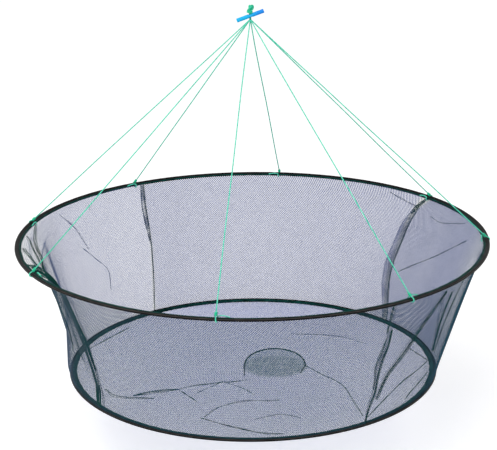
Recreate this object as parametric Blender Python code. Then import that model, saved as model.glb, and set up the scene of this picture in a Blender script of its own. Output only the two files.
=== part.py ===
"""Folding crab trap: two sprung hoops, a net wall and floor, a bait pocket, and a bridle with a toggle.

Metres, +Z up. The origin is the haul point, on top of the knot that gathers the bridle,
and the trap hangs below it.
"""

import math

import bmesh
import bpy
from mathutils import Matrix, Vector
from mathutils.geometry import delaunay_2d_cdt

# Gap kept between pieces that touch
FIT = 0.0003

# Hoops, measured to the middle of the wire
TOP_HOOP_RADIUS = 0.400
BOTTOM_HOOP_RADIUS = 0.3175
NET_DEPTH = 0.232
RING_SEGMENTS = 40
WIRE_RADIUS = 0.0009
WIRE_END_GAP = 0.001
FERRULE_WALL = 0.0004
FERRULE_LENGTH = 0.030
FERRULE_SIDES = 8
FERRULE_SEGMENT = 2
TOP_SLEEVE_SEGMENT = 7
BOTTOM_SLEEVE_SEGMENT = 17

# Tape sleeve: a round tube for the wire and a flat hem that the net is sewn to
SLEEVE_WALL = 0.0006
SLEEVE_OPENING = 0.002
HEM_REACH = 0.0087
HEM_THICKNESS = 0.0018
TOP_HEM_DROP = math.radians(13)
BOTTOM_HEM_DROP = math.radians(8)
BASE_SHARE = 0.95

# Rolled edge of the floor net, on top of the lower hem
ROLL_START = 0.0036
ROLL_PAST_HEM = 0.003
ROLL_THICKNESS = 0.0012

# Netting: the wall is a stack of bands that nest as the trap collapses
NET_THICKNESS = 0.001
STRAND_WIDTH = 0.004
WALL_BANDS = 5
WALL_NODES = 20
BAND_OVERLAP = 0.001
RAIL_HEIGHT = 0.004
TOP_RAIL_HEIGHT = 0.0085
WALL_BELOW_HOOP = 0.0015
FLOOR_PITCH = 0.060
FLOOR_RIM = 0.006
SMALLEST_GAP_SHARE = 0.12

# Bridle
CORD_RADIUS = 0.0007
CORD_SIDES_LEVEL = 2
LEG_ANGLES = [math.radians(a) for a in (-4, 34, 82, 124, 167, 208, 262, 307)]
BRIDLE_RISE = 0.368
LEG_POINTS = 10
HITCH_POINTS = 18
HITCH_PITCH = 0.0022
TAIL_LENGTH = 0.018
NOTCH_DEPTH = 0.0042

# Gathered cords, the knot over them and the toggle that they pass through
KNOT_HEIGHT = 0.0135
KNOT_RADIUS = 0.0048
KNOT_LOBES = 3
KNOT_LOBE_DEPTH = 0.12
KNOT_TURN = 2.2
KNOT_SIDES = 18
NECK_LENGTH = 0.0165
NECK_RADIUS = 0.0022
NECK_FLARE = 0.0036
NECK_FLARE_LENGTH = 0.003
NECK_SIDES = 16
TOGGLE_LENGTH = 0.047
TOGGLE_RADIUS = 0.0034
TOGGLE_EDGE = 0.0006
TOGGLE_BELOW_KNOT = 0.0055
TOGGLE_TILT = math.radians(20)
TOGGLE_SIDES = 20

# Bait pocket on the floor net
POCKET_CENTRE = (0.038, -0.019)
POCKET_HALF_WIDTH = 0.052
POCKET_HALF_DEPTH = 0.044
POCKET_MOUTH_HEIGHT = 0.014
POCKET_END_WIDTH = 0.006
POCKET_BASE_MARGIN = 0.004
POCKET_ACROSS = 14
POCKET_DEEP = 5
POCKET_BASE_SIDES = 28
MOUTH_STEPS = 10
DRAWCORD_RADIUS = 0.0008
DRAWCORD_TAILS = (0.046, 0.036)
DRAWCORD_POINTS = 34

# Heights and sizes that follow
BORE_RADIUS = WIRE_RADIUS + FIT + FERRULE_WALL + FIT
SLEEVE_RADIUS = BORE_RADIUS + SLEEVE_WALL
NECK_TOP = -KNOT_HEIGHT
NECK_BOTTOM = NECK_TOP - NECK_LENGTH
TOP_HOOP_Z = NECK_BOTTOM - BRIDLE_RISE
BOTTOM_HOOP_Z = TOP_HOOP_Z - NET_DEPTH
TOGGLE_Z = NECK_TOP - TOGGLE_BELOW_KNOT
BASE_DEPTH = BASE_SHARE * SLEEVE_RADIUS
FLOOR_Z = -BASE_DEPTH + FIT + NET_THICKNESS / 2
UP = Vector((0, 0, 1))


def clear_scene():
    for obj in list(bpy.data.objects):
        bpy.data.objects.remove(obj)


def material(name, colour, roughness, metallic=0.0):
    made = bpy.data.materials.new(name)
    made.use_nodes = True
    shader = made.node_tree.nodes["Principled BSDF"]
    shader.inputs["Base Color"].default_value = (*colour, 1)
    shader.inputs["Roughness"].default_value = roughness
    shader.inputs["Metallic"].default_value = metallic
    return made


def group(name, place, parent=None):
    """An empty that carries the pieces of one moving body, standing on that body's joint."""
    empty = bpy.data.objects.new(name, None)
    bpy.context.scene.collection.objects.link(empty)
    empty.parent = parent
    empty.location = Vector(place)
    return empty


def add_object(name, data, finish, parent):
    obj = bpy.data.objects.new(name, data)
    bpy.context.scene.collection.objects.link(obj)
    obj.parent = parent
    data.materials.append(finish)
    return obj


def add_solid(name, bm, finish, parent, smooth_angle=40):
    mesh = bpy.data.meshes.new(name)
    bmesh.ops.recalc_face_normals(bm, faces=bm.faces)
    bm.to_mesh(mesh)
    bm.free()
    mesh.shade_smooth()
    mesh.set_sharp_from_angle(angle=math.radians(smooth_angle))
    return add_object(name, mesh, finish, parent)


def add_cord(name, points, radius, finish, parent):
    curve = bpy.data.curves.new(name, "CURVE")
    curve.dimensions = "3D"
    curve.bevel_depth = radius
    curve.bevel_resolution = CORD_SIDES_LEVEL
    curve.use_fill_caps = True
    spline = curve.splines.new("POLY")
    spline.points.add(len(points) - 1)
    for point, place in zip(spline.points, points):
        point.co = (*place, 1)
    return add_object(name, curve, finish, parent)


def smooth_points(through, count):
    """Points at even steps along a smooth curve through the given ones."""
    ends = [2 * through[0] - through[1], *through, 2 * through[-1] - through[-2]]
    fine = []
    for a, b, c, d in zip(ends, ends[1:], ends[2:], ends[3:]):
        for i in range(12):
            t = i / 12
            bend = (2 * a - 5 * b + 4 * c - d) * t**2 + (3 * b - a - 3 * c + d) * t**3
            fine.append((2 * b + (c - a) * t + bend) / 2)
    fine.append(through[-1])
    along = [0.0]
    for a, b in zip(fine, fine[1:]):
        along.append(along[-1] + (b - a).length)
    picked, j = [], 0
    for i in range(count):
        want = along[-1] * i / (count - 1)
        while j < len(fine) - 2 and along[j + 1] < want:
            j += 1
        share = (want - along[j]) / (along[j + 1] - along[j])
        picked.append(fine[j].lerp(fine[j + 1], share))
    return picked


def polar(radius, angle, z=0.0):
    return Vector((radius * math.cos(angle), radius * math.sin(angle), z))


def faceted_radius(radius, angle):
    """Where a ring of straight segments, with its corners at this radius, lies at an angle."""
    step = 2 * math.pi / RING_SEGMENTS
    return radius * math.cos(step / 2) / math.cos(angle % step - step / 2)


def inside(point, loop):
    x, y = point
    odd = False
    for (ax, ay), (bx, by) in zip(loop, loop[1:] + loop[:1]):
        if (ay > y) != (by > y) and x < ax + (y - ay) * (bx - ax) / (by - ay):
            odd = not odd
    return odd


def flat_faces(outline, gaps):
    """The flat sheet inside an outline, less its gaps: (points, triangles)."""
    points, edges = [], []
    for loop in [outline, *gaps]:
        first = len(points)
        points += [Vector(p) for p in loop]
        edges += [(first + i, first + (i + 1) % len(loop)) for i in range(len(loop))]
    places, _, faces, *_ = delaunay_2d_cdt(points, edges, [], 1, 1e-9)
    kept = []
    for face in faces:
        middle = sum((places[i] for i in face), Vector((0, 0))) / len(face)
        if not any(inside(middle, loop) for loop in gaps):
            kept.append(face)
    return places, kept


def sheet_object(name, flat, place, finish, parent, weld=False):
    """A net: the flat sheet put in place by a function, then thickened."""
    points, faces = flat
    bm = bmesh.new()
    corners = [bm.verts.new(place(*p)) for p in points]
    for face in faces:
        bm.faces.new([corners[i] for i in face])
    if weld:
        bmesh.ops.remove_doubles(bm, verts=bm.verts, dist=FIT / 3)
    obj = add_solid(name, bm, finish, parent)
    wall = obj.modifiers.new("thickness", "SOLIDIFY")
    wall.thickness = NET_THICKNESS
    wall.offset = 0
    return obj


def ring_stations(radius, joint_segment=None, opening=0.0):
    """(point, outward direction) round a ring, with an opening in the middle of one segment."""
    step = 2 * math.pi / RING_SEGMENTS
    corners = [(polar(radius, i * step), polar(1, i * step)) for i in range(RING_SEGMENTS)]
    if joint_segment is None:
        return corners
    outward = polar(1, (joint_segment + 0.5) * step)
    middle = outward * radius * math.cos(step / 2)
    along = UP.cross(outward) * opening / 2
    turned = corners[joint_segment + 1 :] + corners[: joint_segment + 1]
    return [(middle + along, outward), *turned, (middle - along, outward)]


def sweep_ring(stations, outline, bore=None):
    """A section, with or without a bore, carried round a ring. The ring is closed if it has no opening."""
    closed = len(stations) == RING_SEGMENTS
    bm = bmesh.new()
    ends = {0: [], len(stations) - 1: []}
    for section in filter(None, (outline, bore)):
        rows = [[bm.verts.new(p + out * r + UP * z) for r, z in section] for p, out in stations]
        pairs = list(zip(rows, rows[1:])) + ([(rows[-1], rows[0])] if closed else [])
        for a, b in pairs:
            for i in range(len(section)):
                bm.faces.new((a[i - 1], a[i], b[i], b[i - 1]))
        for end, corners in ends.items():
            corners += rows[end]
    if not closed:
        _, triangles = flat_faces(outline, [bore] if bore else [])
        for corners in ends.values():
            for triangle in triangles:
                bm.faces.new([corners[i] for i in triangle])
    return bm


def regular(sides, radius):
    """A regular section. The radius is to its corners."""
    turns = [2 * math.pi * i / sides for i in range(sides)]
    return [(radius * math.cos(a), radius * math.sin(a)) for a in turns]


def regular_bore(sides, radius):
    """A regular section whose flats clear the radius."""
    return regular(sides, radius / math.cos(math.pi / sides))


def hem_point(along, lift, drop):
    """A place on a sleeve's hem, from the wire's middle: inwards along it, and up off its middle plane."""
    return (
        -along * math.cos(drop) - lift * math.sin(drop),
        -along * math.sin(drop) + lift * math.cos(drop),
    )


def sleeve_outline(drop):
    r = SLEEVE_RADIUS
    half = HEM_THICKNESS / 2
    neck = 1.1 * r
    upper = [(r * math.cos(a), r * math.sin(a)) for a in map(math.radians, (0, 50, 105))]
    hem = [hem_point(neck, half, drop), hem_point(HEM_REACH, half, drop)]
    hem += [hem_point(HEM_REACH, -half, drop), hem_point(neck, -half, drop)]
    lower = [(-0.5 * r, -BASE_DEPTH), (0.5 * r, -BASE_DEPTH), (0.87 * r, -0.5 * r)]
    return upper + hem + lower


def hem_edge(drop):
    """How far inside the wire the hem's inner edge reaches, level with it."""
    return -min(hem_point(HEM_REACH, side * HEM_THICKNESS / 2, drop)[0] for side in (-1, 1))


def make_hoop(name, radius, drop, sleeve_segment, parent, finishes):
    """A wire whose ends meet in a ferrule, in a tape sleeve that is open where the tape's ends meet."""
    wire = sweep_ring(ring_stations(radius, FERRULE_SEGMENT, WIRE_END_GAP), regular(6, WIRE_RADIUS))
    add_solid(f"{name}_hoop_wire", wire, finishes["spring_steel"], parent)

    inner = WIRE_RADIUS + FIT
    bore = regular_bore(FERRULE_SIDES, inner)
    outline = regular(FERRULE_SIDES, inner + FERRULE_WALL)
    _, ring = flat_faces(outline, [bore])
    outward = polar(1, (FERRULE_SEGMENT + 0.5) * 2 * math.pi / RING_SEGMENTS)
    middle = outward * radius * math.cos(math.pi / RING_SEGMENTS)
    along = UP.cross(outward) * FERRULE_LENGTH / 2
    bm = bmesh.new()
    rows = []
    for end in (middle - along, middle + along):
        rows.append([bm.verts.new(end + outward * r + UP * z) for r, z in outline + bore])
        for triangle in ring:
            bm.faces.new([rows[-1][i] for i in triangle])
    for first in (0, FERRULE_SIDES):
        for i in range(FERRULE_SIDES):
            a, b = first + i, first + (i + 1) % FERRULE_SIDES
            bm.faces.new((rows[0][a], rows[0][b], rows[1][b], rows[1][a]))
    add_solid(f"{name}_hoop_ferrule", bm, finishes["ferrule_steel"], parent)

    stations = ring_stations(radius, sleeve_segment, SLEEVE_OPENING)
    sleeve = sweep_ring(stations, sleeve_outline(drop), regular_bore(8, BORE_RADIUS))
    add_solid(f"{name}_hoop_sleeve", sleeve, finishes["tape"], parent)


def wall_bands():
    """(top radius, top height, bottom radius, bottom height) of each band, heights from the top hoop."""
    top_radius = TOP_HOOP_RADIUS - hem_edge(TOP_HEM_DROP) - FIT - NET_THICKNESS / 2
    top, bottom = -WALL_BELOW_HOOP, SLEEVE_RADIUS + FIT - NET_DEPTH
    height = (top - bottom + (WALL_BANDS - 1) * BAND_OVERLAP) / WALL_BANDS
    fall = (top_radius - BOTTOM_HOOP_RADIUS) / (top - bottom)
    step = NET_THICKNESS + FIT - fall * BAND_OVERLAP
    taper = (top_radius - BOTTOM_HOOP_RADIUS - (WALL_BANDS - 1) * step) / WALL_BANDS
    bands = []
    for i in range(WALL_BANDS):
        r = top_radius - i * (taper + step)
        z = top - i * (height - BAND_OVERLAP)
        bands.append((r, z, r - taper, z - height))
    return bands


def inset_triangle(corners, insets):
    """A triangle with each side, from its corner to the next, moved in by its own distance."""
    lines = []
    for i in range(3):
        a, b = Vector(corners[i]), Vector(corners[(i + 1) % 3])
        side = (b - a).normalized()
        inward = Vector((-side.y, side.x))
        if (Vector(corners[(i + 2) % 3]) - a).dot(inward) < 0:
            inward = -inward
        lines.append((a + inward * insets[i], side))
    found = []
    for i in range(3):
        (p, d), (q, e) = lines[i - 1], lines[i]
        found.append(p + d * ((q - p).cross(e) / d.cross(e)))
    return [tuple(p) for p in found]


def band_flat(index, band):
    """One band laid out flat, as arc length and distance down it, with its gaps between zigzag strands."""
    top_radius, top, bottom_radius, bottom = band
    deep = math.hypot(top_radius - bottom_radius, top - bottom)
    scale = (top_radius + bottom_radius) / 2
    half = math.pi / WALL_NODES
    phase = half * (index % 2)
    rail = TOP_RAIL_HEIGHT if index == 0 else RAIL_HEIGHT
    upper_edge = [(phase + i * half, 0.0) for i in range(2 * WALL_NODES + 1)]
    if index == 0:
        # The hitches of the bridle pass through the net here.
        room = CORD_RADIUS + FIT
        for angle in LEG_ANGLES:
            low = angle % (2 * math.pi) - room / scale
            high = low + (HITCH_PITCH + 2 * room) / scale
            upper_edge += [(low, 0.0), (low, NOTCH_DEPTH), (high, NOTCH_DEPTH), (high, 0.0)]
        upper_edge.sort(key=lambda p: p[0])
        for angle in LEG_ANGLES:
            low = angle % (2 * math.pi) - room / scale
            first = next(i for i, p in enumerate(upper_edge) if abs(p[0] - low) < 1e-9)
            upper_edge[first : first + 2] = [(low, 0.0), (low, NOTCH_DEPTH)]
    lower_edge = [(phase + half + i * half, deep) for i in range(2 * WALL_NODES + 1)]
    outline = [(a * scale, s) for a, s in upper_edge + lower_edge[::-1]]
    gaps = []
    strand = STRAND_WIDTH / 2
    for i in range(WALL_NODES):
        upper = [phase + (2 * i + k) * half for k in (0, 2, 1)]
        lower = [phase + (2 * i + k) * half for k in (1, 3, 2)]
        for angles, ends in ((upper, (0, 0, deep)), (lower, (deep, deep, 0))):
            edge = rail if ends[0] == 0 else RAIL_HEIGHT
            corners = [(a * scale, s) for a, s in zip(angles, ends)]
            a, b, tip = inset_triangle(corners, (edge, strand, strand))
            gaps.append([a, ((a[0] + b[0]) / 2, a[1]), b, tip])
    return flat_faces(outline, gaps), scale, deep


def make_wall(parents, finish):
    for i, (band, parent) in enumerate(zip(wall_bands(), parents)):
        flat, scale, deep = band_flat(i, band)
        top_radius, top, bottom_radius, bottom = band
        lift = TOP_HOOP_Z - parent.matrix_world.translation.z

        def place(u, v):
            share = v / deep
            radius = top_radius + (bottom_radius - top_radius) * share
            return polar(faceted_radius(radius, u / scale), u / scale, top + (bottom - top) * share + lift)

        sheet_object(f"wall_net_{i + 1}", flat, place, finish, parent, weld=True)


def clipped(loop, radius):
    """A convex loop cut back to a ring of straight segments about the origin."""
    step = 2 * math.pi / RING_SEGMENTS
    reach = radius * math.cos(step / 2)
    for i in range(RING_SEGMENTS):
        out = Vector((math.cos((i + 0.5) * step), math.sin((i + 0.5) * step)))
        kept = []
        for a, b in zip(loop, loop[1:] + loop[:1]):
            da, db = out.dot(a) - reach, out.dot(b) - reach
            if da <= 0:
                kept.append(a)
            if da * db < 0:
                kept.append(a.lerp(b, da / (da - db)))
        loop = kept
        if len(loop) < 3:
            return []
    return loop


def area(loop):
    return abs(sum(a.cross(b) for a, b in zip(loop, loop[1:] + loop[:1]))) / 2


def floor_gaps(radius):
    """Square gaps set corner to corner across the floor, and cut back where they meet its rim."""
    half = (FLOOR_PITCH - STRAND_WIDTH) / math.sqrt(2)
    reach = FLOOR_PITCH / math.sqrt(2)
    count = math.ceil(radius / reach) + 1
    whole = 2 * half * half
    gaps = []
    for i in range(-count, count + 1):
        for j in range(-count, count + 1):
            if (i + j) % 2:
                continue
            centre = Vector((i * reach, j * reach))
            square = [centre + Vector(p) * half for p in ((1, 0), (0, 1), (-1, 0), (0, -1))]
            cut = clipped(square, radius)
            if cut and area(cut) > SMALLEST_GAP_SHARE * whole:
                gaps.append([tuple(p) for p in cut])
    return gaps


def make_floor(parent, finishes):
    radius = BOTTOM_HOOP_RADIUS - hem_edge(BOTTOM_HEM_DROP) - FIT
    outline = [tuple(polar(radius, 2 * math.pi * i / RING_SEGMENTS).xy) for i in range(RING_SEGMENTS)]
    flat = flat_faces(outline, floor_gaps(radius - FLOOR_RIM))
    sheet_object("floor_net", flat, lambda x, y: Vector((x, y, FLOOR_Z)), finishes["net"], parent)

    low = HEM_THICKNESS / 2 + FIT
    spots = ((ROLL_START, low), (ROLL_START, low + ROLL_THICKNESS))
    spots += ((HEM_REACH + ROLL_PAST_HEM, low + ROLL_THICKNESS), (HEM_REACH + ROLL_PAST_HEM, low))
    section = [hem_point(along, lift, BOTTOM_HEM_DROP) for along, lift in spots]
    roll = sweep_ring(ring_stations(BOTTOM_HOOP_RADIUS), section)
    add_solid("floor_rolled_edge", roll, finishes["net"], parent)


def pocket_sheet(t, v):
    """A place on the pocket from its sewn edge, v 0, to its mouth, v 1, with its hinge at y 0.

    It runs from end to end as t goes from 0 to 1.
    """
    turn = math.pi * (1 - t)
    x = POCKET_HALF_WIDTH * math.cos(turn)
    arch = math.sin(turn)
    deep = POCKET_HALF_DEPTH - POCKET_END_WIDTH / 2
    sewn, mouth = -POCKET_END_WIDTH / 2 - deep * arch, POCKET_END_WIDTH / 2 + deep * arch
    y = POCKET_HALF_DEPTH + sewn + (mouth - sewn) * v
    return Vector((x, y, POCKET_MOUTH_HEIGHT * arch * v * (2 - v)))


def make_pocket(lower, parent, finishes):
    steps = []
    for j in range(POCKET_DEEP + 1):
        steps += [(i / POCKET_ACROSS, j / POCKET_DEEP) for i in range(POCKET_ACROSS + 1)]
    faces = []
    for j in range(POCKET_DEEP):
        for i in range(POCKET_ACROSS):
            a = j * (POCKET_ACROSS + 1) + i
            b = a + POCKET_ACROSS + 1
            faces.append((a, a + 1, b + 1, b))
    lift = UP * NET_THICKNESS / 2

    # The lower layer of the doubled mesh, on the floor net, a little wider than the pocket
    wide, long = POCKET_HALF_WIDTH + POCKET_BASE_MARGIN, POCKET_HALF_DEPTH + POCKET_BASE_MARGIN
    turns = [2 * math.pi * i / POCKET_BASE_SIDES for i in range(POCKET_BASE_SIDES)]
    outline = [(wide * math.cos(a), long * math.sin(a)) for a in turns]
    middle = Vector((POCKET_CENTRE[0], POCKET_CENTRE[1], FLOOR_Z + NET_THICKNESS + FIT))
    sheet_object(
        "bait_pocket_base",
        flat_faces(outline, []),
        lambda x, y: middle + Vector((x, y, 0)),
        finishes["net"],
        lower,
    )
    sheet_object(
        "bait_pocket_net",
        (steps, faces),
        lambda t, v: pocket_sheet(t, v) + lift,
        finishes["net"],
        parent,
    )

    # The drawcord lies along the mouth, and its two ends trail forwards over the floor.
    clear = DRAWCORD_RADIUS + 2 * FIT
    mouth = []
    for i in range(MOUTH_STEPS + 1):
        edge = pocket_sheet(i / MOUTH_STEPS, 1)
        turn = math.pi * (1 - i / MOUTH_STEPS)
        out = Vector((POCKET_HALF_DEPTH * math.cos(turn), POCKET_HALF_WIDTH * math.sin(turn), 0))
        out.normalize()
        edge.z = max(edge.z + NET_THICKNESS / 2, DRAWCORD_RADIUS)
        mouth.append(edge + out * clear)
    ends = []
    for end, tail in zip((mouth[0], mouth[-1]), DRAWCORD_TAILS):
        ends.append([end + Vector((0, -tail * share, 0)) for share in (0.2, 0.6, 1)])
    through = [*ends[0][::-1], *mouth, *ends[1]]
    cord = smooth_points(through, DRAWCORD_POINTS)
    add_cord("bait_pocket_drawcord", cord, DRAWCORD_RADIUS, finishes["drawcord"], parent)


def hitch_start():
    """Where a leg ends and its hitch begins, from the wire's middle: (outwards, up)."""
    return -0.4 * HEM_REACH - CORD_RADIUS, SLEEVE_RADIUS + 5 * CORD_RADIUS


def hitch_route(fall):
    """The hitch's turn round the sleeve, as (outwards, up, along the hoop), from the leg's direction."""
    over = SLEEVE_RADIUS + FIT + 1.25 * CORD_RADIUS
    under = -BASE_DEPTH - FIT - 1.3 * CORD_RADIUS
    edge = -hem_edge(TOP_HEM_DROP) - FIT - 1.5 * CORD_RADIUS
    low = min(under, hem_point(HEM_REACH, -HEM_THICKNESS / 2 - FIT - 1.5 * CORD_RADIUS, TOP_HEM_DROP)[1])
    top = hem_point(HEM_REACH, HEM_THICKNESS / 2 + FIT + 2 * CORD_RADIUS, TOP_HEM_DROP)[1]
    out, up = hitch_start()
    step = 2 * CORD_RADIUS
    turn = [
        (out, up),
        (out + fall[0] * step, up + fall[1] * step),
        (0.2 * over, over),
        (0.8 * over, 0.62 * over),
        (over, 0),
        (0.75 * over, 0.7 * under),
        (0.2 * over, under),
        (0.5 * edge, 0.5 * (under + low)),
        (0.9 * edge, low),
        (edge, 0.5 * low),
        (edge, 0.5 * top),
        (0.93 * edge, top + step),
    ]
    route = [Vector((r, z, HITCH_PITCH * i / (len(turn) - 1))) for i, (r, z) in enumerate(turn)]
    end = route[-1]
    tail = ((0.4, 1.5 * CORD_RADIUS), (1.0, -1.5 * CORD_RADIUS))
    return route + [Vector((end.x, end.y + up, end.z + share * TAIL_LENGTH)) for share, up in tail]


def make_bridle(apex, upper, finishes):
    start_radius = NECK_FLARE - CORD_RADIUS - FIT
    for i, angle in enumerate(LEG_ANGLES):
        outward, along = polar(1, angle), UP.cross(polar(1, angle))
        hoop = faceted_radius(TOP_HOOP_RADIUS, angle)
        out, up = hitch_start()
        top = outward * start_radius + UP * (NECK_BOTTOM - FIT - CORD_RADIUS)
        low = outward * (hoop + out) + UP * (TOP_HOOP_Z + up)
        fall = (low - top).normalized()
        leg = [top.lerp(low - fall * FIT, k / (LEG_POINTS - 1)) for k in range(LEG_POINTS)]
        add_cord(f"bridle_leg_{i + 1}", leg, CORD_RADIUS, finishes["cord"], apex)

        route = hitch_route((fall.dot(outward), fall.z))
        places = [outward * (hoop + p.x) + UP * p.y + along * p.z for p in route]
        turn = smooth_points(places, HITCH_POINTS)
        add_cord(f"bridle_hitch_{i + 1}", turn, CORD_RADIUS, finishes["cord"], upper)


def turned(name, profile, sides, finish, parent, lobe=None):
    """A solid turned from (radius, height) points, top to bottom, with flat ends."""
    bm = bmesh.new()
    rows = []
    for radius, z in profile:
        row = []
        for i in range(sides):
            angle = 2 * math.pi * i / sides
            swell = 1 + lobe(angle, z) if lobe else 1
            row.append(bm.verts.new(polar(radius * swell, angle, z)))
        rows.append(row)
    for a, b in zip(rows, rows[1:]):
        for i in range(sides):
            bm.faces.new((a[i - 1], a[i], b[i], b[i - 1]))
    bm.faces.new(rows[0])
    bm.faces.new(rows[-1])
    return add_solid(name, bm, finish, parent)


def make_gather(apex, finishes):
    """The knot over the gathered cords, and the gathered cords themselves down to where they part."""

    def twist(angle, z):
        return KNOT_LOBE_DEPTH * math.cos(KNOT_LOBES * angle + KNOT_TURN * math.pi * z / KNOT_HEIGHT)

    shares = [(0.35, 0.0), (0.72, 0.1), (0.95, 0.27), (1.0, 0.45), (0.93, 0.65), (0.72, 0.83), (0.5, 1.0)]
    profile = [(KNOT_RADIUS * r, -KNOT_HEIGHT * z) for r, z in shares]
    turned("apex_knot", profile, KNOT_SIDES, finishes["cord"], apex, twist)

    flare = NECK_BOTTOM + NECK_FLARE_LENGTH
    neck = [(NECK_RADIUS, NECK_TOP - FIT), (NECK_RADIUS, flare), (NECK_FLARE, NECK_BOTTOM)]
    turned("gathered_cords", neck, NECK_SIDES, finishes["cord"], apex)


def make_toggle(parent, finish):
    """A plain bar with a slot across its middle that the gathered cords pass through."""
    bm = bmesh.new()
    lie_along_x = Matrix.Rotation(math.pi / 2, 4, "Y")
    bmesh.ops.create_cone(
        bm,
        cap_ends=True,
        segments=TOGGLE_SIDES,
        radius1=TOGGLE_RADIUS,
        radius2=TOGGLE_RADIUS,
        depth=TOGGLE_LENGTH,
        matrix=lie_along_x,
    )
    rims = [e for e in bm.edges if len(e.link_faces) == 2 and any(len(f.verts) > 4 for f in e.link_faces)]
    bmesh.ops.bevel(bm, geom=rims, offset=TOGGLE_EDGE, segments=2, affect="EDGES", profile=0.5)
    bar = add_solid("toggle_bar", bm, finish, parent, smooth_angle=50)
    bar.rotation_euler.y = -TOGGLE_TILT

    # The slot is longer than it is wide, so that the bar can tilt on the cords.
    width = NECK_RADIUS + FIT
    lean = TOGGLE_RADIUS * math.tan(TOGGLE_TILT)
    length = width / math.cos(TOGGLE_TILT) + lean
    slot = bmesh.new()
    outline = []
    for side in (1, -1):
        for i in range(9):
            turn = math.radians(-90 + 180 * i / 8)
            x = side * (length - width + width * math.cos(turn))
            outline.append((x, side * width * math.sin(turn)))
    rows = []
    for z in (-2 * TOGGLE_RADIUS, 2 * TOGGLE_RADIUS):
        rows.append([slot.verts.new((x, y, z)) for x, y in outline])
    for i in range(len(outline)):
        slot.faces.new((rows[0][i - 1], rows[0][i], rows[1][i], rows[1][i - 1]))
    for row in rows:
        slot.faces.new(row)
    cutter = add_solid("toggle_slot_cutter", slot, finish, bar)
    cutter.hide_render = True
    cutter.display_type = "WIRE"
    cut = bar.modifiers.new("slot", "BOOLEAN")
    cut.operation = "DIFFERENCE"
    cut.object = cutter


def main():
    clear_scene()
    finishes = {
        "spring_steel": material("spring_steel", (0.45, 0.45, 0.46), 0.35, 1.0),
        "ferrule_steel": material("ferrule_steel", (0.6, 0.6, 0.58), 0.4, 1.0),
        "tape": material("tape", (0.012, 0.012, 0.013), 0.6),
        "net": material("net", (0.012, 0.055, 0.05), 0.7),
        "drawcord": material("drawcord", (0.01, 0.03, 0.03), 0.7),
        "cord": material("cord", (0.05, 0.55, 0.36), 0.55),
        "toggle": material("toggle", (0.01, 0.32, 0.85), 0.4),
    }
    apex = group("apex", (0, 0, 0))
    toggle = group("toggle", (0, 0, TOGGLE_Z), apex)
    upper = group("upper_frame", (0, 0, TOP_HOOP_Z), apex)
    middle = [group(f"wall_{i}", (0, 0, 0), upper) for i in range(2, WALL_BANDS)]
    lower = group("lower_frame", (0, 0, -NET_DEPTH), upper)
    hinge = (
        POCKET_CENTRE[0],
        POCKET_CENTRE[1] - POCKET_HALF_DEPTH,
        FLOOR_Z + 1.5 * NET_THICKNESS + 2 * FIT,
    )
    pocket = group("pocket", hinge, lower)
    bpy.context.view_layer.update()

    make_gather(apex, finishes)
    make_toggle(toggle, finishes["toggle"])
    make_bridle(apex, upper, finishes)
    make_hoop("top", TOP_HOOP_RADIUS, TOP_HEM_DROP, TOP_SLEEVE_SEGMENT, upper, finishes)
    make_hoop("bottom", BOTTOM_HOOP_RADIUS, BOTTOM_HEM_DROP, BOTTOM_SLEEVE_SEGMENT, lower, finishes)
    make_wall([upper, *middle, lower], finishes["net"])
    make_floor(lower, finishes)
    make_pocket(lower, pocket, finishes)


main()
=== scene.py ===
import math

import bmesh
import bpy
import numpy as np
from mathutils import Matrix, Vector


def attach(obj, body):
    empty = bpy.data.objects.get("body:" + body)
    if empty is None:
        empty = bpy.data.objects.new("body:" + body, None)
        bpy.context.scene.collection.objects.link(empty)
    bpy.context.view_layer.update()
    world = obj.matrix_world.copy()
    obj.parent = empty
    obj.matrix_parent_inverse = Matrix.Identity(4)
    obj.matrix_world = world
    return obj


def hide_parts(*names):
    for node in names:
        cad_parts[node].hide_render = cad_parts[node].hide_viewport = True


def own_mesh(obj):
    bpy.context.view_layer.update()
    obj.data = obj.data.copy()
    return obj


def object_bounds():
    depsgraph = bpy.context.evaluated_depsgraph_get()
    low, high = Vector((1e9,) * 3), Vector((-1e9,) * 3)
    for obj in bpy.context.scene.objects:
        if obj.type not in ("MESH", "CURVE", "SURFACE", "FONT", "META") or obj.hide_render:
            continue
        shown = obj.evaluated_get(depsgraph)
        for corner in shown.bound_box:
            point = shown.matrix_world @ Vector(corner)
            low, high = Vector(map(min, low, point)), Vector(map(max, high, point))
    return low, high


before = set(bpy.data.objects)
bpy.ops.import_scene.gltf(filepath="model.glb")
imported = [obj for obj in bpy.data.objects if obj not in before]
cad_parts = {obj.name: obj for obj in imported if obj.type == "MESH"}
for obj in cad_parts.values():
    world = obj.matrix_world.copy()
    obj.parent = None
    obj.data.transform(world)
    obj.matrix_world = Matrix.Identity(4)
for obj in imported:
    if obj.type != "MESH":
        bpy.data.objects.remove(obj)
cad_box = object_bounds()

# Hoop wires and ferrules
# Two rings of sprung steel wire, each closed by a short crimped tube over its ends.
# They lie hidden in the tape, and their own solids already have the right shape.
STEEL_DARK = (0.252, 0.252, 0.258, 1)
STEEL_GREY = (0.42, 0.42, 0.43, 1)
CRIMP_DARK = (0.33, 0.33, 0.312, 1)
CRIMP_GREY = (0.55, 0.55, 0.52, 1)
STEEL_SHEEN = {"Roughness": 0.34, "Metallic": 1.0}
STEEL_SPOTS = 900
STEEL_MARKS = 0.00004


def new_finish(name, **settings):
    """A material with its shader's plain numbers set, named as on the shader with _ for a space."""
    finish = bpy.data.materials.new(name)
    finish.use_nodes = True
    tree = finish.node_tree
    shader = tree.nodes["Principled BSDF"]
    for setting, value in settings.items():
        shader.inputs[setting.replace("_", " ")].default_value = value
    return finish, tree, shader


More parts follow.
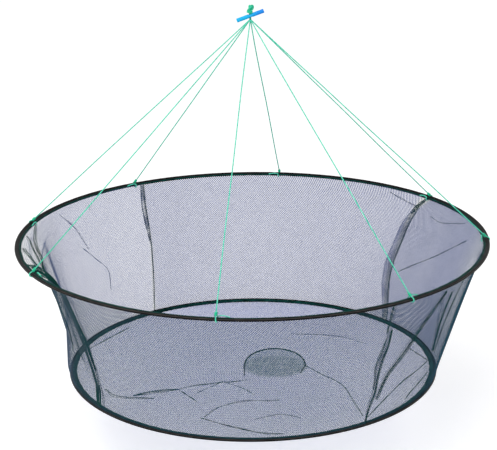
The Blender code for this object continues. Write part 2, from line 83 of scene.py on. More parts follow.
def add_node(tree, kind, inputs=None, out=0, **settings):
    """Adds a node with its settings, and its inputs linked or set. Gives one of its outputs."""
    node = tree.nodes.new(kind)
    for name, value in settings.items():
        setattr(node, name, value)
    for socket, value in (inputs or {}).items():
        if isinstance(value, bpy.types.NodeSocket):
            tree.links.new(value, node.inputs[socket])
        else:
            node.inputs[socket].default_value = value
    return node.outputs[out]


def own_place(tree):
    """Where a point lies on its own piece."""
    return add_node(tree, "ShaderNodeTexCoord", out="Object")


def spots(tree, place, scale, detail=4.0):
    """A pattern of uneven spots, about so many to the metre."""
    return add_node(tree, "ShaderNodeTexNoise", {"Vector": place, "Scale": scale, "Detail": detail}, "Fac")


def shaded(tree, pattern, shades, stops=(0.35, 0.65)):
    """Colour that goes from one shade to the other as a pattern rises between two stops."""
    ramp = add_node(tree, "ShaderNodeValToRGB", {"Fac": pattern})
    for element, stop, shade in zip(ramp.node.color_ramp.elements, stops, shades):
        element.position = stop
        element.color = shade
    return ramp


def paint(tree, shader, colour, relief, rise, strength=1.0):
    """Colours a shader, and gives it a relief so many metres high that light shows."""
    inputs = {"Height": relief, "Distance": rise, "Strength": strength}
    tree.links.new(add_node(tree, "ShaderNodeBump", inputs), shader.inputs["Normal"])
    tree.links.new(colour, shader.inputs["Base Color"])


def spotted(name, shades, scale, rise, **settings):
    """A finish in two shades of fine spots, raised by the same spots."""
    finish, tree, shader = new_finish(name, **settings)
    grain = spots(tree, own_place(tree), scale)
    paint(tree, shader, shaded(tree, grain, shades), grain, rise)
    return finish


def give_finish(node, finish):
    """A finish for a piece that keeps its own solid."""
    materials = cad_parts[node].data.materials
    materials.clear()
    materials.append(finish)


for hoop in ("top", "bottom"):
    for node, metal, shades in (
        ("wire", "wire", (STEEL_DARK, STEEL_GREY)),
        ("ferrule", "crimp", (CRIMP_DARK, CRIMP_GREY)),
    ):
        steel = spotted(f"{hoop}_{metal}_steel", shades, STEEL_SPOTS, STEEL_MARKS, **STEEL_SHEEN)
        give_finish(f"{hoop}_hoop_{node}", steel)

# Tape sleeves
# Black woven polyester tape folded round each wire and the edge of the net,
# and sewn through both layers with one row of stitches close to the wire.
TOP_RADIUS = 0.400
TOP_PLANE = -0.398
TOP_DROP = math.radians(13)
BOTTOM_RADIUS = 0.3175
BOTTOM_PLANE = -0.630
BOTTOM_DROP = math.radians(8)
CHORD_INSET = 0.0006
TAPE_TUBE = 0.0025
TAPE_BASE = 0.002375
TAPE_HALF = 0.0009
TAPE_REACH = 0.0087
TAPE_WAIST = 1.55 * TAPE_TUBE
WAIST_RISE = 1.25 * TAPE_HALF
WAIST_FALL = 1.3 * TAPE_HALF
HEM_FLAT = (0.55 * TAPE_REACH, 0.75 * TAPE_REACH)
BASE_EDGES = (-0.45 * TAPE_TUBE, 0.35 * TAPE_TUBE)
# Steps of the tape's section in degrees, over the wire and round the fold at the end of the hem
TUBE_ARC = range(-50, 126, 16)
FOLD_ARC = range(80, -81, -32)
TAPE_STATIONS = 400
PUCKER = 0.000175
PUCKER_WAVES = 7
PUCKERS_ROUND = (40, 190)
TUBE_PUCKER = 0.15
TAPE_BLACK = (0.0018, 0.0018, 0.0022, 1)
TAPE_WORN = (0.008, 0.0075, 0.007, 1)
# Painted highlight: the pale colour of a line along the top of the tube, where light falls on it
TAPE_HIGHLIGHT = (0.075, 0.070, 0.066, 1)
TAPE_SPOTS = 60
# Where the painted highlight line lies across the tape's section, in metres of cloth
HIGHLIGHT_BAND = (0.0030, 0.0043)
WEAVE_RIBS = 170.0
WEAVE_FLOATS = 260.0
WEAVE_RISE = 0.00012
STITCH_ROW = 0.0050
STITCH_SPACING = 0.0042
STITCH_LENGTH = 0.0030
STITCH_THREAD = 0.00028
THREAD_DARK = (0.006, 0.006, 0.007, 1)
THREAD_PALE = (0.030, 0.029, 0.028, 1)
THREAD_SHEEN = {"Roughness": 0.55, "Specular_IOR_Level": 0.2}
THREAD_SPOTS = 1800
THREAD_TWIST = 0.00005
# Each hoop's name and body, its radius and level, how far its hem drops, and the seed of its puckers
HOOPS = [
    ("top", "upper_frame", TOP_RADIUS, TOP_PLANE, TOP_DROP, 3),
    ("bottom", "lower_frame", BOTTOM_RADIUS, BOTTOM_PLANE, BOTTOM_DROP, 4),
]


def ring_point(radius, angle, z):
    return Vector((radius * math.cos(angle), radius * math.sin(angle), z))


def on_hem(along, lift, drop):
    """A place on a hem, inwards along it and up off its middle plane, as (outwards, up) from the wire."""
    c, s = math.cos(drop), math.sin(drop)
    return -along * c - lift * s, -along * s + lift * c


def tape_section(drop):
    """The folded tape cut across, as (outwards, up) from the wire: a tube, then a flat hem turned inwards."""
    points = []
    for turn in TUBE_ARC:
        a = math.radians(turn)
        points.append((TAPE_TUBE * math.cos(a), TAPE_TUBE * math.sin(a)))
    hem = [(TAPE_WAIST, WAIST_RISE)]
    hem += [(along, TAPE_HALF) for along in HEM_FLAT]
    for turn in FOLD_ARC:
        a = math.radians(turn)
        hem.append((TAPE_REACH - TAPE_HALF + TAPE_HALF * math.cos(a), TAPE_HALF * math.sin(a)))
    hem += [(along, -TAPE_HALF) for along in reversed(HEM_FLAT)]
    hem.append((TAPE_WAIST, -WAIST_FALL))
    points += [on_hem(along, lift, drop) for along, lift in hem]
    return points + [(out, -TAPE_BASE) for out in BASE_EDGES]


def tape_sleeve(name, radius, plane, drop, seed):
    """The section carried round the hoop, puckered by its stitches, with lengths of cloth as its UV map.
    Gives the mesh, and the row of stitches on its upper and on its lower face."""
    section = tape_section(drop)
    count = len(section)
    lengths = [0.0]
    for a, b in zip(section, section[1:] + section[:1]):
        lengths.append(lengths[-1] + math.dist(a, b))
    draws = np.random.default_rng(seed)
    waves = []
    for number in draws.integers(*PUCKERS_ROUND, PUCKER_WAVES):
        waves.append((int(number), draws.uniform(0, 6.28), draws.uniform(0.3, 1.0)))
    hem = TAPE_REACH - TAPE_TUBE
    flats = [min(1.0, max(0.0, (-out - TAPE_TUBE) / hem)) for out, _ in section]
    sewn_flat = (STITCH_ROW * math.cos(drop) - TAPE_TUBE) / hem
    sewn = [on_hem(STITCH_ROW, lift, drop) for lift in (TAPE_HALF, -TAPE_HALF)]

    def spot(place, flat, angle, ripple):
        level = plane + place[1] + ripple * (flat + TUBE_PUCKER)
        return ring_point(radius - CHORD_INSET + place[0], angle, max(level, plane - TAPE_BASE))

    bm = bmesh.new()
    rows = []
    stitch_rows = [[], []]
    for i in range(TAPE_STATIONS):
        angle = math.tau * i / TAPE_STATIONS
        ripple = PUCKER * sum(size * math.sin(n * angle + turn) for n, turn, size in waves)
        rows.append([bm.verts.new(spot(p, flat, angle, ripple)) for p, flat in zip(section, flats)])
        for stitches, place in zip(stitch_rows, sewn):
            stitches.append(spot(place, sewn_flat, angle, ripple))
    cloth = bm.loops.layers.uv.new("cloth")
    for i in range(TAPE_STATIONS):
        a, b = rows[i], rows[(i + 1) % TAPE_STATIONS]
        for k in range(count):
            face = bm.faces.new((a[k], b[k], b[(k + 1) % count], a[(k + 1) % count]))
            face.smooth = True
            for loop, u, v in zip(face.loops, (i, i + 1, i + 1, i), (k, k, k + 1, k + 1)):
                loop[cloth].uv = (u * math.tau * radius / TAPE_STATIONS, lengths[v])
    bmesh.ops.recalc_face_normals(bm, faces=bm.faces)
    mesh = bpy.data.meshes.new(name)
    bm.to_mesh(mesh)
    bm.free()
    return mesh, stitch_rows


def sums(tree, operation, *values):
    """One step of arithmetic in a tree."""
    return add_node(tree, "ShaderNodeMath", dict(enumerate(values)), operation=operation)


def mixed(tree, share, first, second):
    """Two colours mixed by a share."""
    return add_node(tree, "ShaderNodeMix", {0: share, 6: first, 7: second}, 2, data_type="RGBA")


def woven_tape():
    """Fine ribs across the tape and floats along it, worn paler in spots, with a painted highlight line along
    the top of the tube that the same spots break up.
    """
    finish, tree, shader = new_finish("woven_tape", Roughness=0.50, Specular_IOR_Level=0.06)
    cloth = add_node(tree, "ShaderNodeUVMap", uv_map="cloth")
    wear_and_highlight = spots(tree, own_place(tree), TAPE_SPOTS, detail=8.0)
    dyed = shaded(tree, wear_and_highlight, (TAPE_BLACK, TAPE_WORN), stops=(0.42, 0.82))
    across = add_node(tree, "ShaderNodeSeparateXYZ", {"Vector": cloth}, "Y")
    # A painted highlight line along the top of the tube, broken up by the wear spots
    start, end = HIGHLIGHT_BAND
    highlight_line = sums(tree, "COMPARE", across, (start + end) / 2, (end - start) / 2)
    colour = mixed(tree, sums(tree, "MULTIPLY", highlight_line, wear_and_highlight), dyed, TAPE_HIGHLIGHT)
    ways = []
    for way, scale in (("X", WEAVE_RIBS), ("Y", WEAVE_FLOATS)):
        inputs = {"Vector": cloth, "Scale": scale}
        ways.append(add_node(tree, "ShaderNodeTexWave", inputs, "Fac", bands_direction=way))
    paint(tree, shader, colour, sums(tree, "ADD", *ways), WEAVE_RISE, strength=0.8)
    return finish


def new_tree(name, *sizes):
    """A node tree that takes geometry, named sizes and a finish. Gives the tree and those inputs."""
    tree = bpy.data.node_groups.new(name, "GeometryNodeTree")
    kinds = {"Geometry": "Geometry", **dict.fromkeys(sizes, "Float"), "Finish": "Material"}
    for label, kind in kinds.items():
        tree.interface.new_socket(label, in_out="INPUT", socket_type=f"NodeSocket{kind}")
    tree.interface.new_socket("Geometry", in_out="OUTPUT", socket_type="NodeSocketGeometry")
    return tree, tree.nodes.new("NodeGroupInput").outputs


def close_tree(tree, geometry, finish):
    """Ends a tree in plain smooth geometry with its material."""
    smooth = add_node(tree, "GeometryNodeSetShadeSmooth", {"Geometry": geometry})
    real = add_node(tree, "GeometryNodeRealizeInstances", {"Geometry": smooth})
    dressed = add_node(tree, "GeometryNodeSetMaterial", {"Geometry": real, "Material": finish})
    tree.links.new(dressed, tree.nodes.new("NodeGroupOutput").inputs["Geometry"])
    return tree


def vector(tree, x=0.0, y=0.0, z=0.0):
    return add_node(tree, "ShaderNodeCombineXYZ", {"X": x, "Y": y, "Z": z})


def stitch_tree():
    """Short stitches of thread at even steps along a row."""
    tree, given = new_tree("stitches", "Spacing", "Length", "Thread")
    row = add_node(tree, "GeometryNodeMeshToCurve", {"Mesh": given["Geometry"]})
    steps = {"Curve": row, "Length": given["Spacing"]}
    places = add_node(tree, "GeometryNodeCurveToPoints", steps, mode="LENGTH")
    bead = add_node(tree, "GeometryNodeMeshUVSphere", {"Segments": 6, "Rings": 4, "Radius": 1.0})
    thin = given["Thread"]
    size = vector(tree, thin, thin, sums(tree, "MULTIPLY", given["Length"], 0.5))
    turned = places.node.outputs["Rotation"]
    inputs = {"Points": places, "Instance": bead, "Rotation": turned, "Scale": size}
    return close_tree(tree, add_node(tree, "GeometryNodeInstanceOnPoints", inputs), given["Finish"])


def put_in_scene(name, data):
    thing = bpy.data.objects.new(name, data)
    bpy.context.scene.collection.objects.link(thing)
    return thing


def grow(tree, base, **sizes):
    """Runs a tree on a base mesh and gives back a plain mesh."""
    holder = put_in_scene("grower", base)
    modifier = holder.modifiers.new("tree", "NODES")
    modifier.node_group = tree
    for item in tree.interface.items_tree:
        if item.in_out == "INPUT" and item.name in sizes:
            modifier[item.identifier] = sizes[item.name]
    graph = bpy.context.evaluated_depsgraph_get()
    mesh = bpy.data.meshes.new_from_object(holder.evaluated_get(graph))
    holder.modifiers.remove(modifier)
    bpy.data.objects.remove(holder)
    return mesh


def line_mesh(routes):
    """Bare lines through the points of each route."""
    mesh = bpy.data.meshes.new("route")
    points, edges = [], []
    for route in routes:
        edges += [(len(points) + i, len(points) + i + 1) for i in range(len(route) - 1)]
        points += [tuple(p) for p in route]
    mesh.from_pydata(points, edges, [])
    return mesh


def place_piece(name, mesh, body, slot, *nodes):
    """Puts a finished mesh on its body and hides the CAD nodes that it stands for, if any; its slot is not
    used.
    """
    piece = put_in_scene(name, mesh)
    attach(piece, body)
    if nodes:
        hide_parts(*nodes)
    return piece


tape_finish = woven_tape()
thread_shades = (THREAD_DARK, THREAD_PALE)
thread_finish = spotted("sewing_thread", thread_shades, THREAD_SPOTS, THREAD_TWIST, **THREAD_SHEEN)
sewing_tree = stitch_tree()
sewing = {"Spacing": STITCH_SPACING, "Length": STITCH_LENGTH, "Thread": STITCH_THREAD}
tapes, sewn_rows = {}, {}
for hoop, body, *shape in HOOPS:
    mesh, sewn_rows[hoop] = tape_sleeve(f"{hoop}_hoop_tape", *shape)
    mesh.materials.append(tape_finish)
    tapes[hoop] = place_piece(f"{hoop}_hoop_tape", mesh, body, "tape", f"{hoop}_hoop_sleeve")
for hoop, body, *_ in HOOPS:
    closed = [row + row[:1] for row in sewn_rows[hoop]]
    stitches = grow(sewing_tree, line_mesh(closed), Finish=thread_finish, **sewing)
    place_piece(f"{hoop}_hoop_stitches", stitches, body, "tape")

# Bridle legs
# Eight thin three-strand twisted cords of mint green polyethylene, pulled tight,
# that run from under the toggle out to a hitch on the top hoop.
CORD_RADIUS = 0.0007
CORD_LOFT = 1.5
CORD_TWIST = 0.0065
CORD_STEP = 0.0008
CORD_SIDES = 12
CORD_STRANDS = 3
STRAND_BULGE = 0.16
STRAND_MIDDLE = 0.86
CORD_MINT = (0.045, 0.60, 0.40, 1)
CORD_PALE = (0.14, 0.82, 0.58, 1)
CORD_SPOTS = 240
FIBRES = 2600.0
FIBRE_RISE = 0.00006
RING_STEP = math.tau / 40
LEG_ANGLES = [math.radians(a) for a in (-4, 34, 82, 124, 167, 208, 262, 307)]
LEG_TOP = (0.0014, -0.0262)
LEG_FOOT = (-0.00418, 0.006)
LEG_POINTS = 28
LEG_WANDER = 0.0011
LEG_BENDS = (1, 2, 3, 5)
UP = Vector((0, 0, 1))


def marked(tree, geometry, name, value):
    """Geometry with a value kept on each of its points."""
    inputs = {"Geometry": geometry, "Name": name, "Value": value}
    return add_node(tree, "GeometryNodeStoreNamedAttribute", inputs, data_type="FLOAT", domain="POINT")


def even_steps(tree, lines, step):
    return add_node(tree, "GeometryNodeResampleCurve", {"Curve": lines, "Length": step}, mode="LENGTH")


def ring_section(tree, sides, radius):
    inputs = {"Resolution": sides, "Radius": radius}
    return add_node(tree, "GeometryNodeCurvePrimitiveCircle", inputs, mode="RADIUS")


def twisted_cord_tree():
    """A cord of three strands: a three-lobed section turned steadily as it follows the route."""
    tree, given = new_tree("twisted_cord", "Radius", "Twist", "Step")
    route = add_node(tree, "GeometryNodeMeshToCurve", {"Mesh": given["Geometry"]})
    even = even_steps(tree, route, given["Step"])
    along = add_node(tree, "GeometryNodeSplineParameter", out="Length")
    tilt = sums(tree, "MULTIPLY", sums(tree, "DIVIDE", along, given["Twist"]), math.tau)
    turned = add_node(tree, "GeometryNodeSetCurveTilt", {"Curve": even, "Tilt": tilt})
    round_it = add_node(tree, "GeometryNodeSplineParameter", out="Factor")
    wave = sums(tree, "COSINE", sums(tree, "MULTIPLY", round_it, CORD_STRANDS * math.tau))
    swell = sums(tree, "MULTIPLY_ADD", wave, STRAND_BULGE, STRAND_MIDDLE)
    reach = sums(tree, "MULTIPLY", swell, given["Radius"])
    spot = add_node(tree, "GeometryNodeInputPosition")
    lobe = add_node(tree, "ShaderNodeVectorMath", {0: spot, "Scale": reach}, operation="SCALE")
    ring = ring_section(tree, CORD_SIDES, 1.0)
    section = add_node(tree, "GeometryNodeSetPosition", {"Geometry": ring, "Position": lobe})
    follow = {"Curve": marked(tree, turned, "along", along), "Profile Curve": section, "Fill Caps": True}
    return close_tree(tree, add_node(tree, "GeometryNodeCurveToMesh", follow), given["Finish"])


def twisted_polyethylene(name, shades, roughness=0.42):
    """Bright drawn fibres: streaks along each strand, and paler where light goes through."""
    glow = {"Subsurface_Weight": 0.15, "Subsurface_Scale": 0.001, "Subsurface_Radius": (0.4, 1.0, 0.7)}
    finish, tree, shader = new_finish(name, Roughness=roughness, **glow)
    colour = shaded(tree, spots(tree, own_place(tree), CORD_SPOTS, detail=6.0), shades)
    along = add_node(tree, "ShaderNodeAttribute", out="Fac", attribute_name="along")
    inputs = {"W": along, "Scale": FIBRES, "Detail": 2.0}
    fibres = add_node(tree, "ShaderNodeTexNoise", inputs, "Fac", noise_dimensions="1D")
    paint(tree, shader, colour, fibres, FIBRE_RISE, strength=0.6)
    return finish


def cord_mesh(routes, finish, radius=CORD_LOFT * CORD_RADIUS, twist=CORD_TWIST, step=CORD_STEP):
    return grow(cord_tree, line_mesh(routes), Radius=radius, Twist=twist, Step=step, Finish=finish)


def hoop_at(angle):
    """The way outwards and the way along the top hoop at an angle, and where its straight segments lie."""
    outward = ring_point(1, angle, 0)
    chord = TOP_RADIUS * math.cos(RING_STEP / 2) / math.cos(angle % RING_STEP - RING_STEP / 2)
    return outward, UP.cross(outward), chord


cord_tree = twisted_cord_tree()
cord_finish = twisted_polyethylene("mint_cord", (CORD_MINT, CORD_PALE))
leg_draws = np.random.default_rng(11)
leg_routes = []
for number, angle in enumerate(LEG_ANGLES, 1):
    outward, side, hoop = hoop_at(angle)
    top = outward * LEG_TOP[0] + UP * LEG_TOP[1]
    foot = outward * (hoop + LEG_FOOT[0]) + UP * (TOP_PLANE + LEG_FOOT[1])
    bends = [(k, leg_draws.uniform(-1, 1), leg_draws.uniform(-1, 1)) for k in LEG_BENDS]
    route = []
    for i in range(LEG_POINTS):
        share = i / (LEG_POINTS - 1)
        place = top.lerp(foot, share)
        for k, across, up in bends:
            place += (side * across + UP * up) * LEG_WANDER * math.sin(k * math.pi * share) / k
        route.append(place)
    leg_routes.append(route)
    mesh = cord_mesh([route], cord_finish)
    leg = place_piece(f"bridle_cord_{number}", mesh, "bridle_head", "cord", f"bridle_leg_{number}")
    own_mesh(leg)

# Hitches on the top hoop
# The foot of each leg goes over the tape, round under the hoop and up inside the hem, where it is
# wrapped round itself in a small bead. The cut end lies along the tape.
HITCH_PITCH = 0.0022
HITCH_POINTS = 34
TAIL_LENGTH = 0.018
TAIL_BOW = 1.5 * CORD_RADIUS
FIT = 0.0003
SMOOTH_STEPS = 12
BEAD_TURNS = 3
BEAD_RADIUS = 0.0017
BEAD_ABOVE = 0.00434
BEAD_BELOW = 0.00186
BEAD_POINTS = 16
KNOT_GREEN = (0.006, 0.46, 0.25, 1)
KNOT_BRIGHT = (0.02, 0.74, 0.42, 1)


def smooth_route(through, count):
    """Points at even steps along a smooth curve through the given ones."""
    ends = [2 * through[0] - through[1], *through, 2 * through[-1] - through[-2]]
    fine = []
    for a, b, c, d in zip(ends, ends[1:], ends[2:], ends[3:]):
        for i in range(SMOOTH_STEPS):
            t = i / SMOOTH_STEPS
            bend = (2 * a - 5 * b + 4 * c - d) * t**2 + (3 * b - a - 3 * c + d) * t**3
            fine.append((2 * b + (c - a) * t + bend) / 2)
    fine.append(through[-1])
    along = np.cumsum([0.0] + [(b - a).length for a, b in zip(fine, fine[1:])])
    sides = [np.interp(np.linspace(0, along[-1], count), along, side) for side in zip(*fine)]
    return [Vector(p) for p in zip(*sides)]


def hitch_route(fall):
    """The turn round the sleeve, as (outwards, up, along the hoop), from the leg's direction to the tail."""
    over = TAPE_TUBE + FIT + 1.25 * CORD_RADIUS
    under = -TAPE_BASE - FIT - 1.3 * CORD_RADIUS
    edge = on_hem(TAPE_REACH, TAPE_HALF, TOP_DROP)[0] - FIT - 1.5 * CORD_RADIUS
    low = min(under, on_hem(TAPE_REACH, -TAPE_HALF - FIT - 1.5 * CORD_RADIUS, TOP_DROP)[1])
    top = on_hem(TAPE_REACH, TAPE_HALF + FIT + 2 * CORD_RADIUS, TOP_DROP)[1]
    step = 2 * CORD_RADIUS
    out, up = LEG_FOOT
    turn = [
        (out, up),
        (out + fall[0] * step, up + fall[1] * step),
        (0.2 * over, over),
        (0.8 * over, 0.62 * over),
        (over, 0),
        (0.75 * over, 0.7 * under),
        (0.2 * over, under),
        (0.5 * edge, 0.5 * (under + low)),
        (0.9 * edge, low),
        (edge, 0.5 * low),
        (edge, 0.5 * top),
        (0.93 * edge, top + step),
    ]
    route = [Vector((r, z, HITCH_PITCH * i / (len(turn) - 1))) for i, (r, z) in enumerate(turn)]
    end = route[-1]
    for share, lift in ((0.4, TAIL_BOW), (1.0, -TAIL_BOW)):
        route.append(Vector((end.x, end.y + lift, end.z + share * TAIL_LENGTH)))
    return route


def coil_round(start, end, radius, turns, points):
    """Turns of cord wrapped close round a line from start to end."""
    axis = (end - start).normalized()
    across = axis.orthogonal().normalized()
    other = axis.cross(across)
    route = []
    for i in range(turns * points + 1):
        turn = math.tau * i / points
        place = start.lerp(end, i / (turns * points))
        route.append(place + radius * (across * math.cos(turn) + other * math.sin(turn)))
    return route


knot_finish = twisted_polyethylene("knotted_cord", (KNOT_GREEN, KNOT_BRIGHT))
for number, (angle, leg_route) in enumerate(zip(LEG_ANGLES, leg_routes), 1):
    outward, side, hoop = hoop_at(angle)
    foot = leg_route[-1]
    fall = (foot - leg_route[0]).normalized()
    through = []
    for place in hitch_route((fall.dot(outward), fall.z)):
        through.append(outward * (hoop + place.x) + side * place.z + UP * (TOP_PLANE + place.y))
    route = smooth_route(through, HITCH_POINTS)
    mesh = cord_mesh([route], cord_finish)
    stands_for = f"bridle_hitch_{number}"
    hitch = place_piece(f"bridle_hitch_cord_{number}", mesh, "upper_frame", "cord", stands_for)
    bead_ends = (foot - fall * BEAD_ABOVE, foot + fall * BEAD_BELOW)
    wraps = coil_round(*bead_ends, BEAD_RADIUS, BEAD_TURNS, BEAD_POINTS)
    bead_mesh = cord_mesh([wraps], knot_finish)
    bead = place_piece(f"bridle_bead_{number}", bead_mesh, "upper_frame", "cord")

# Gathered cords and the knot over them
# The eight legs run up through the toggle in one bundle and are tied together over it
# in a plain overhand knot, pulled down tight, with the cut ends left short.
GATHER_TOP = -0.0125
GATHER_WAIST = -0.0195
GATHER_RADIUS = 0.00135
GATHER_TURN = math.radians(50)
GATHER_CORD = 0.00062
GATHER_TWIST = 0.004
GATHER_POINTS = 24
# Painted shade: the same mint cord as the legs, coloured much darker where the cords are packed in the bundle
GATHER_SHADED_DEEP = (0.006, 0.20, 0.13, 1)
GATHER_SHADED_GREEN = (0.020, 0.42, 0.27, 1)
KNOT_WIDE = 0.62
KNOT_DRAWN = 0.20
KNOT_SIZE = 0.0036 / (KNOT_WIDE + KNOT_DRAWN)
KNOT_TALL = 0.0042
KNOT_MIDDLE = -0.0078
KNOT_LEAN = 0.0016
KNOT_PART = (0.0006, 0.0011)
KNOT_CORD = 0.00150
KNOT_TWIST = 0.0045
KNOT_STEP = 0.0006
KNOT_POINTS = 72
END_CORDS = 5
END_ROOT = (0.0011, -0.0060)
END_TIP = (0.0021, -0.0014)
END_TURN = 0.5
END_CUT = 0.0006
END_BOW = Vector((0.0003, 0, 0))
END_POINTS = 8
COLLAR = (-0.0116, -0.0146)
COLLAR_RADIUS = 0.0027
COLLAR_TURNS = 2
COLLAR_POINTS = 14

# The bundle's cord is painted darker than the legs' as shade among the packed cords
gather_shaded_finish = twisted_polyethylene("gathered_cord", (GATHER_SHADED_DEEP, GATHER_SHADED_GREEN))
gather_lines = []
for angle, leg_route in zip(LEG_ANGLES, leg_routes):
    start = ring_point(0.7 * GATHER_RADIUS, angle + GATHER_TURN, GATHER_TOP)
    waist = ring_point(GATHER_RADIUS, angle + 0.4 * GATHER_TURN, GATHER_WAIST)
    into_leg = leg_route[1].lerp(leg_route[0], 0.7)
    gather_lines.append(smooth_route([start, waist, leg_route[0], into_leg], GATHER_POINTS))
gather_mesh = cord_mesh(gather_lines, gather_shaded_finish, GATHER_CORD, GATHER_TWIST)
place_piece("gathered_bundle", gather_mesh, "bridle_head", "cord", "gathered_cords")

knot_lines = []
for strand in (-1, 0, 1):
    loop = []
    for i in range(KNOT_POINTS + 1):
        t = math.tau * i / KNOT_POINTS
        reach = KNOT_SIZE * (KNOT_WIDE + KNOT_DRAWN * math.cos(3 * t))
        place = ring_point(reach + KNOT_PART[0] * strand * math.cos(3 * t), 2 * t, 0)
        place.z = KNOT_MIDDLE + KNOT_TALL * math.sin(3 * t) + KNOT_PART[1] * strand
        place.x += KNOT_LEAN * (place.z - KNOT_MIDDLE) / KNOT_TALL
        loop.append(place)
    knot_lines.append(loop)
for k in range(END_CORDS):
    turn = math.tau * k / END_CORDS
    start = ring_point(END_ROOT[0], turn, END_ROOT[1])
    tip = ring_point(END_TIP[0], turn + END_TURN, END_TIP[1] - END_CUT * (k % 3))
    tip.x += KNOT_LEAN
    knot_lines.append(smooth_route([start, start.lerp(tip, 0.5) + END_BOW, tip], END_POINTS))
collar_ends = [UP * z for z in COLLAR]
knot_lines.append(coil_round(*collar_ends, COLLAR_RADIUS, COLLAR_TURNS, COLLAR_POINTS))
knot_mesh = cord_mesh(knot_lines, knot_finish, KNOT_CORD, KNOT_TWIST, KNOT_STEP)
place_piece("bridle_top_knot", knot_mesh, "bridle_head", "cord", "apex_knot")

# Toggle bar
# A short rod of bright blue moulded plastic with a slot across its middle for the gathered cords.
# Its own solid has the right shape; its colour runs paler to one end as painted light, and it is finely
# scuffed.
TOGGLE_LENGTH = 0.047
TOGGLE_BLUE = (0.004, 0.240, 0.78, 1)
TOGGLE_AZURE = (0.003, 0.440, 0.80, 1)
FLOW_MARKS = 160.0
FLOW_DRAWN = (1.0, 4.0, 4.0)
FLOW_UNEVEN = 0.6
# Painted light: the colour runs paler towards one end of the bar and darker towards the other
PAINTED_LIGHT_MIDDLE = 0.30
PAINTED_LIGHT_TO_END = -0.9 / TOGGLE_LENGTH
SCUFFS = 1600.0
SCUFF_DEPTH = 0.00004


def moulded_plastic(name, shades):
    """Plastic with painted light, paler towards one end and darker towards the other, with slow marks along
    the bar and fine scuffs.
    """
    finish, tree, shader = new_finish(name, Roughness=0.45, Specular_IOR_Level=0.25)
    place = own_place(tree)
    drawn = add_node(tree, "ShaderNodeMapping", {"Vector": place, "Scale": FLOW_DRAWN})
    marks = spots(tree, drawn, FLOW_MARKS, detail=5.0)
    along = add_node(tree, "ShaderNodeSeparateXYZ", {"Vector": place}, "X")
    # Painted light along the bar, paler at one end, to which the slow marks are added
    ends = sums(tree, "MULTIPLY_ADD", along, PAINTED_LIGHT_TO_END, PAINTED_LIGHT_MIDDLE)
    flow_and_light = sums(tree, "MULTIPLY_ADD", marks, FLOW_UNEVEN, ends)
    colour = shaded(tree, flow_and_light, shades, stops=(0.3, 0.7))
    paint(tree, shader, colour, spots(tree, place, SCUFFS, detail=3.0), SCUFF_DEPTH, strength=0.5)
    return finish


give_finish("toggle_bar", moulded_plastic("toggle_plastic", (TOGGLE_BLUE, TOGGLE_AZURE)))

# Net wall
# Four panels of fine knotless netting, cut on the bias and sewn into the tape at both hoops.
# They lap at four seams, and the spare cloth lies in flat pleats, creases and one gathered bunch.
WALL_TOP_RADIUS = 0.3916
WALL_BOTTOM_RADIUS = 0.3178
WALL_TOP = -0.3993
WALL_BOTTOM = -0.6282
WALL_SLANT = math.hypot(WALL_TOP_RADIUS - WALL_BOTTOM_RADIUS, WALL_TOP - WALL_BOTTOM)
WALL_SLOPE = math.atan2(WALL_TOP_RADIUS - WALL_BOTTOM_RADIUS, WALL_TOP - WALL_BOTTOM)
WALL_BILLOW = 0.0016
# Waves round the wall: how many, how far each is turned, how it leans with height, and its share
BILLOW_WAVES = [(7, 1.0, 0, 1.0), (13, 2.1, 0, 0.7), (29, 0.0, 4, 0.4)]
PULL_IN = 0.026
PULL_LEAST = 0.3219
PULL_FROM = [math.radians(a) for a in (150, 184, 206, 230)]
PULL_HEIGHTS = [(0.0, 0.0), (0.12, 0.55), (0.3, 0.80), (0.6, 1.0), (0.88, 1.0), (0.97, 0.45), (1.0, 0.0)]
PANEL_LIFT = -0.0006
PANEL_MEASURED = 0.75
PLEAT_LIFT = -0.0018
LAP_LIFT = 0.0012
MESH_PITCH = 0.0025
LEAST_STRAND = 0.0005
PLEAT_STRAND = 0.00034
LAP_SHARE = 0.8
# Painted shade: how far the laps go to the darker green where the net lies doubled
LAP_SHADE = 0.9
LAP_SLIM = 0.35
STRAND_SIDES = 3
STRAND_FLATNESS = 0.35
STRAND_STEP = 0.010
NET_SLATE = (0.180, 0.220, 0.440, 1)
NET_LILAC = (0.245, 0.285, 0.510, 1)
# The darker green that the yarn's mark turns it to: dyeing over the front panels, painted shade in the laps
# and pleats
NET_GREEN = (0.013, 0.053, 0.082, 1)
NET_PINE = (0.033, 0.085, 0.122, 1)
# Painted shade: the net's green cast, coloured far darker than the panel yarn, for creases, folds, seam
# edges, wrinkles, rolled edges and the pocket's hem
FOLD_SHADED_DEEP = (0.001, 0.024, 0.022, 1)
FOLD_SHADED_GREEN = (0.003, 0.072, 0.060, 1)
DYE_SPOTS = 55
DYE_STOPS = (0.3, 0.7)
YARN_SPOTS = 4200.0
YARN_TWIST = 0.0001
YARN_SAMPLES = 200

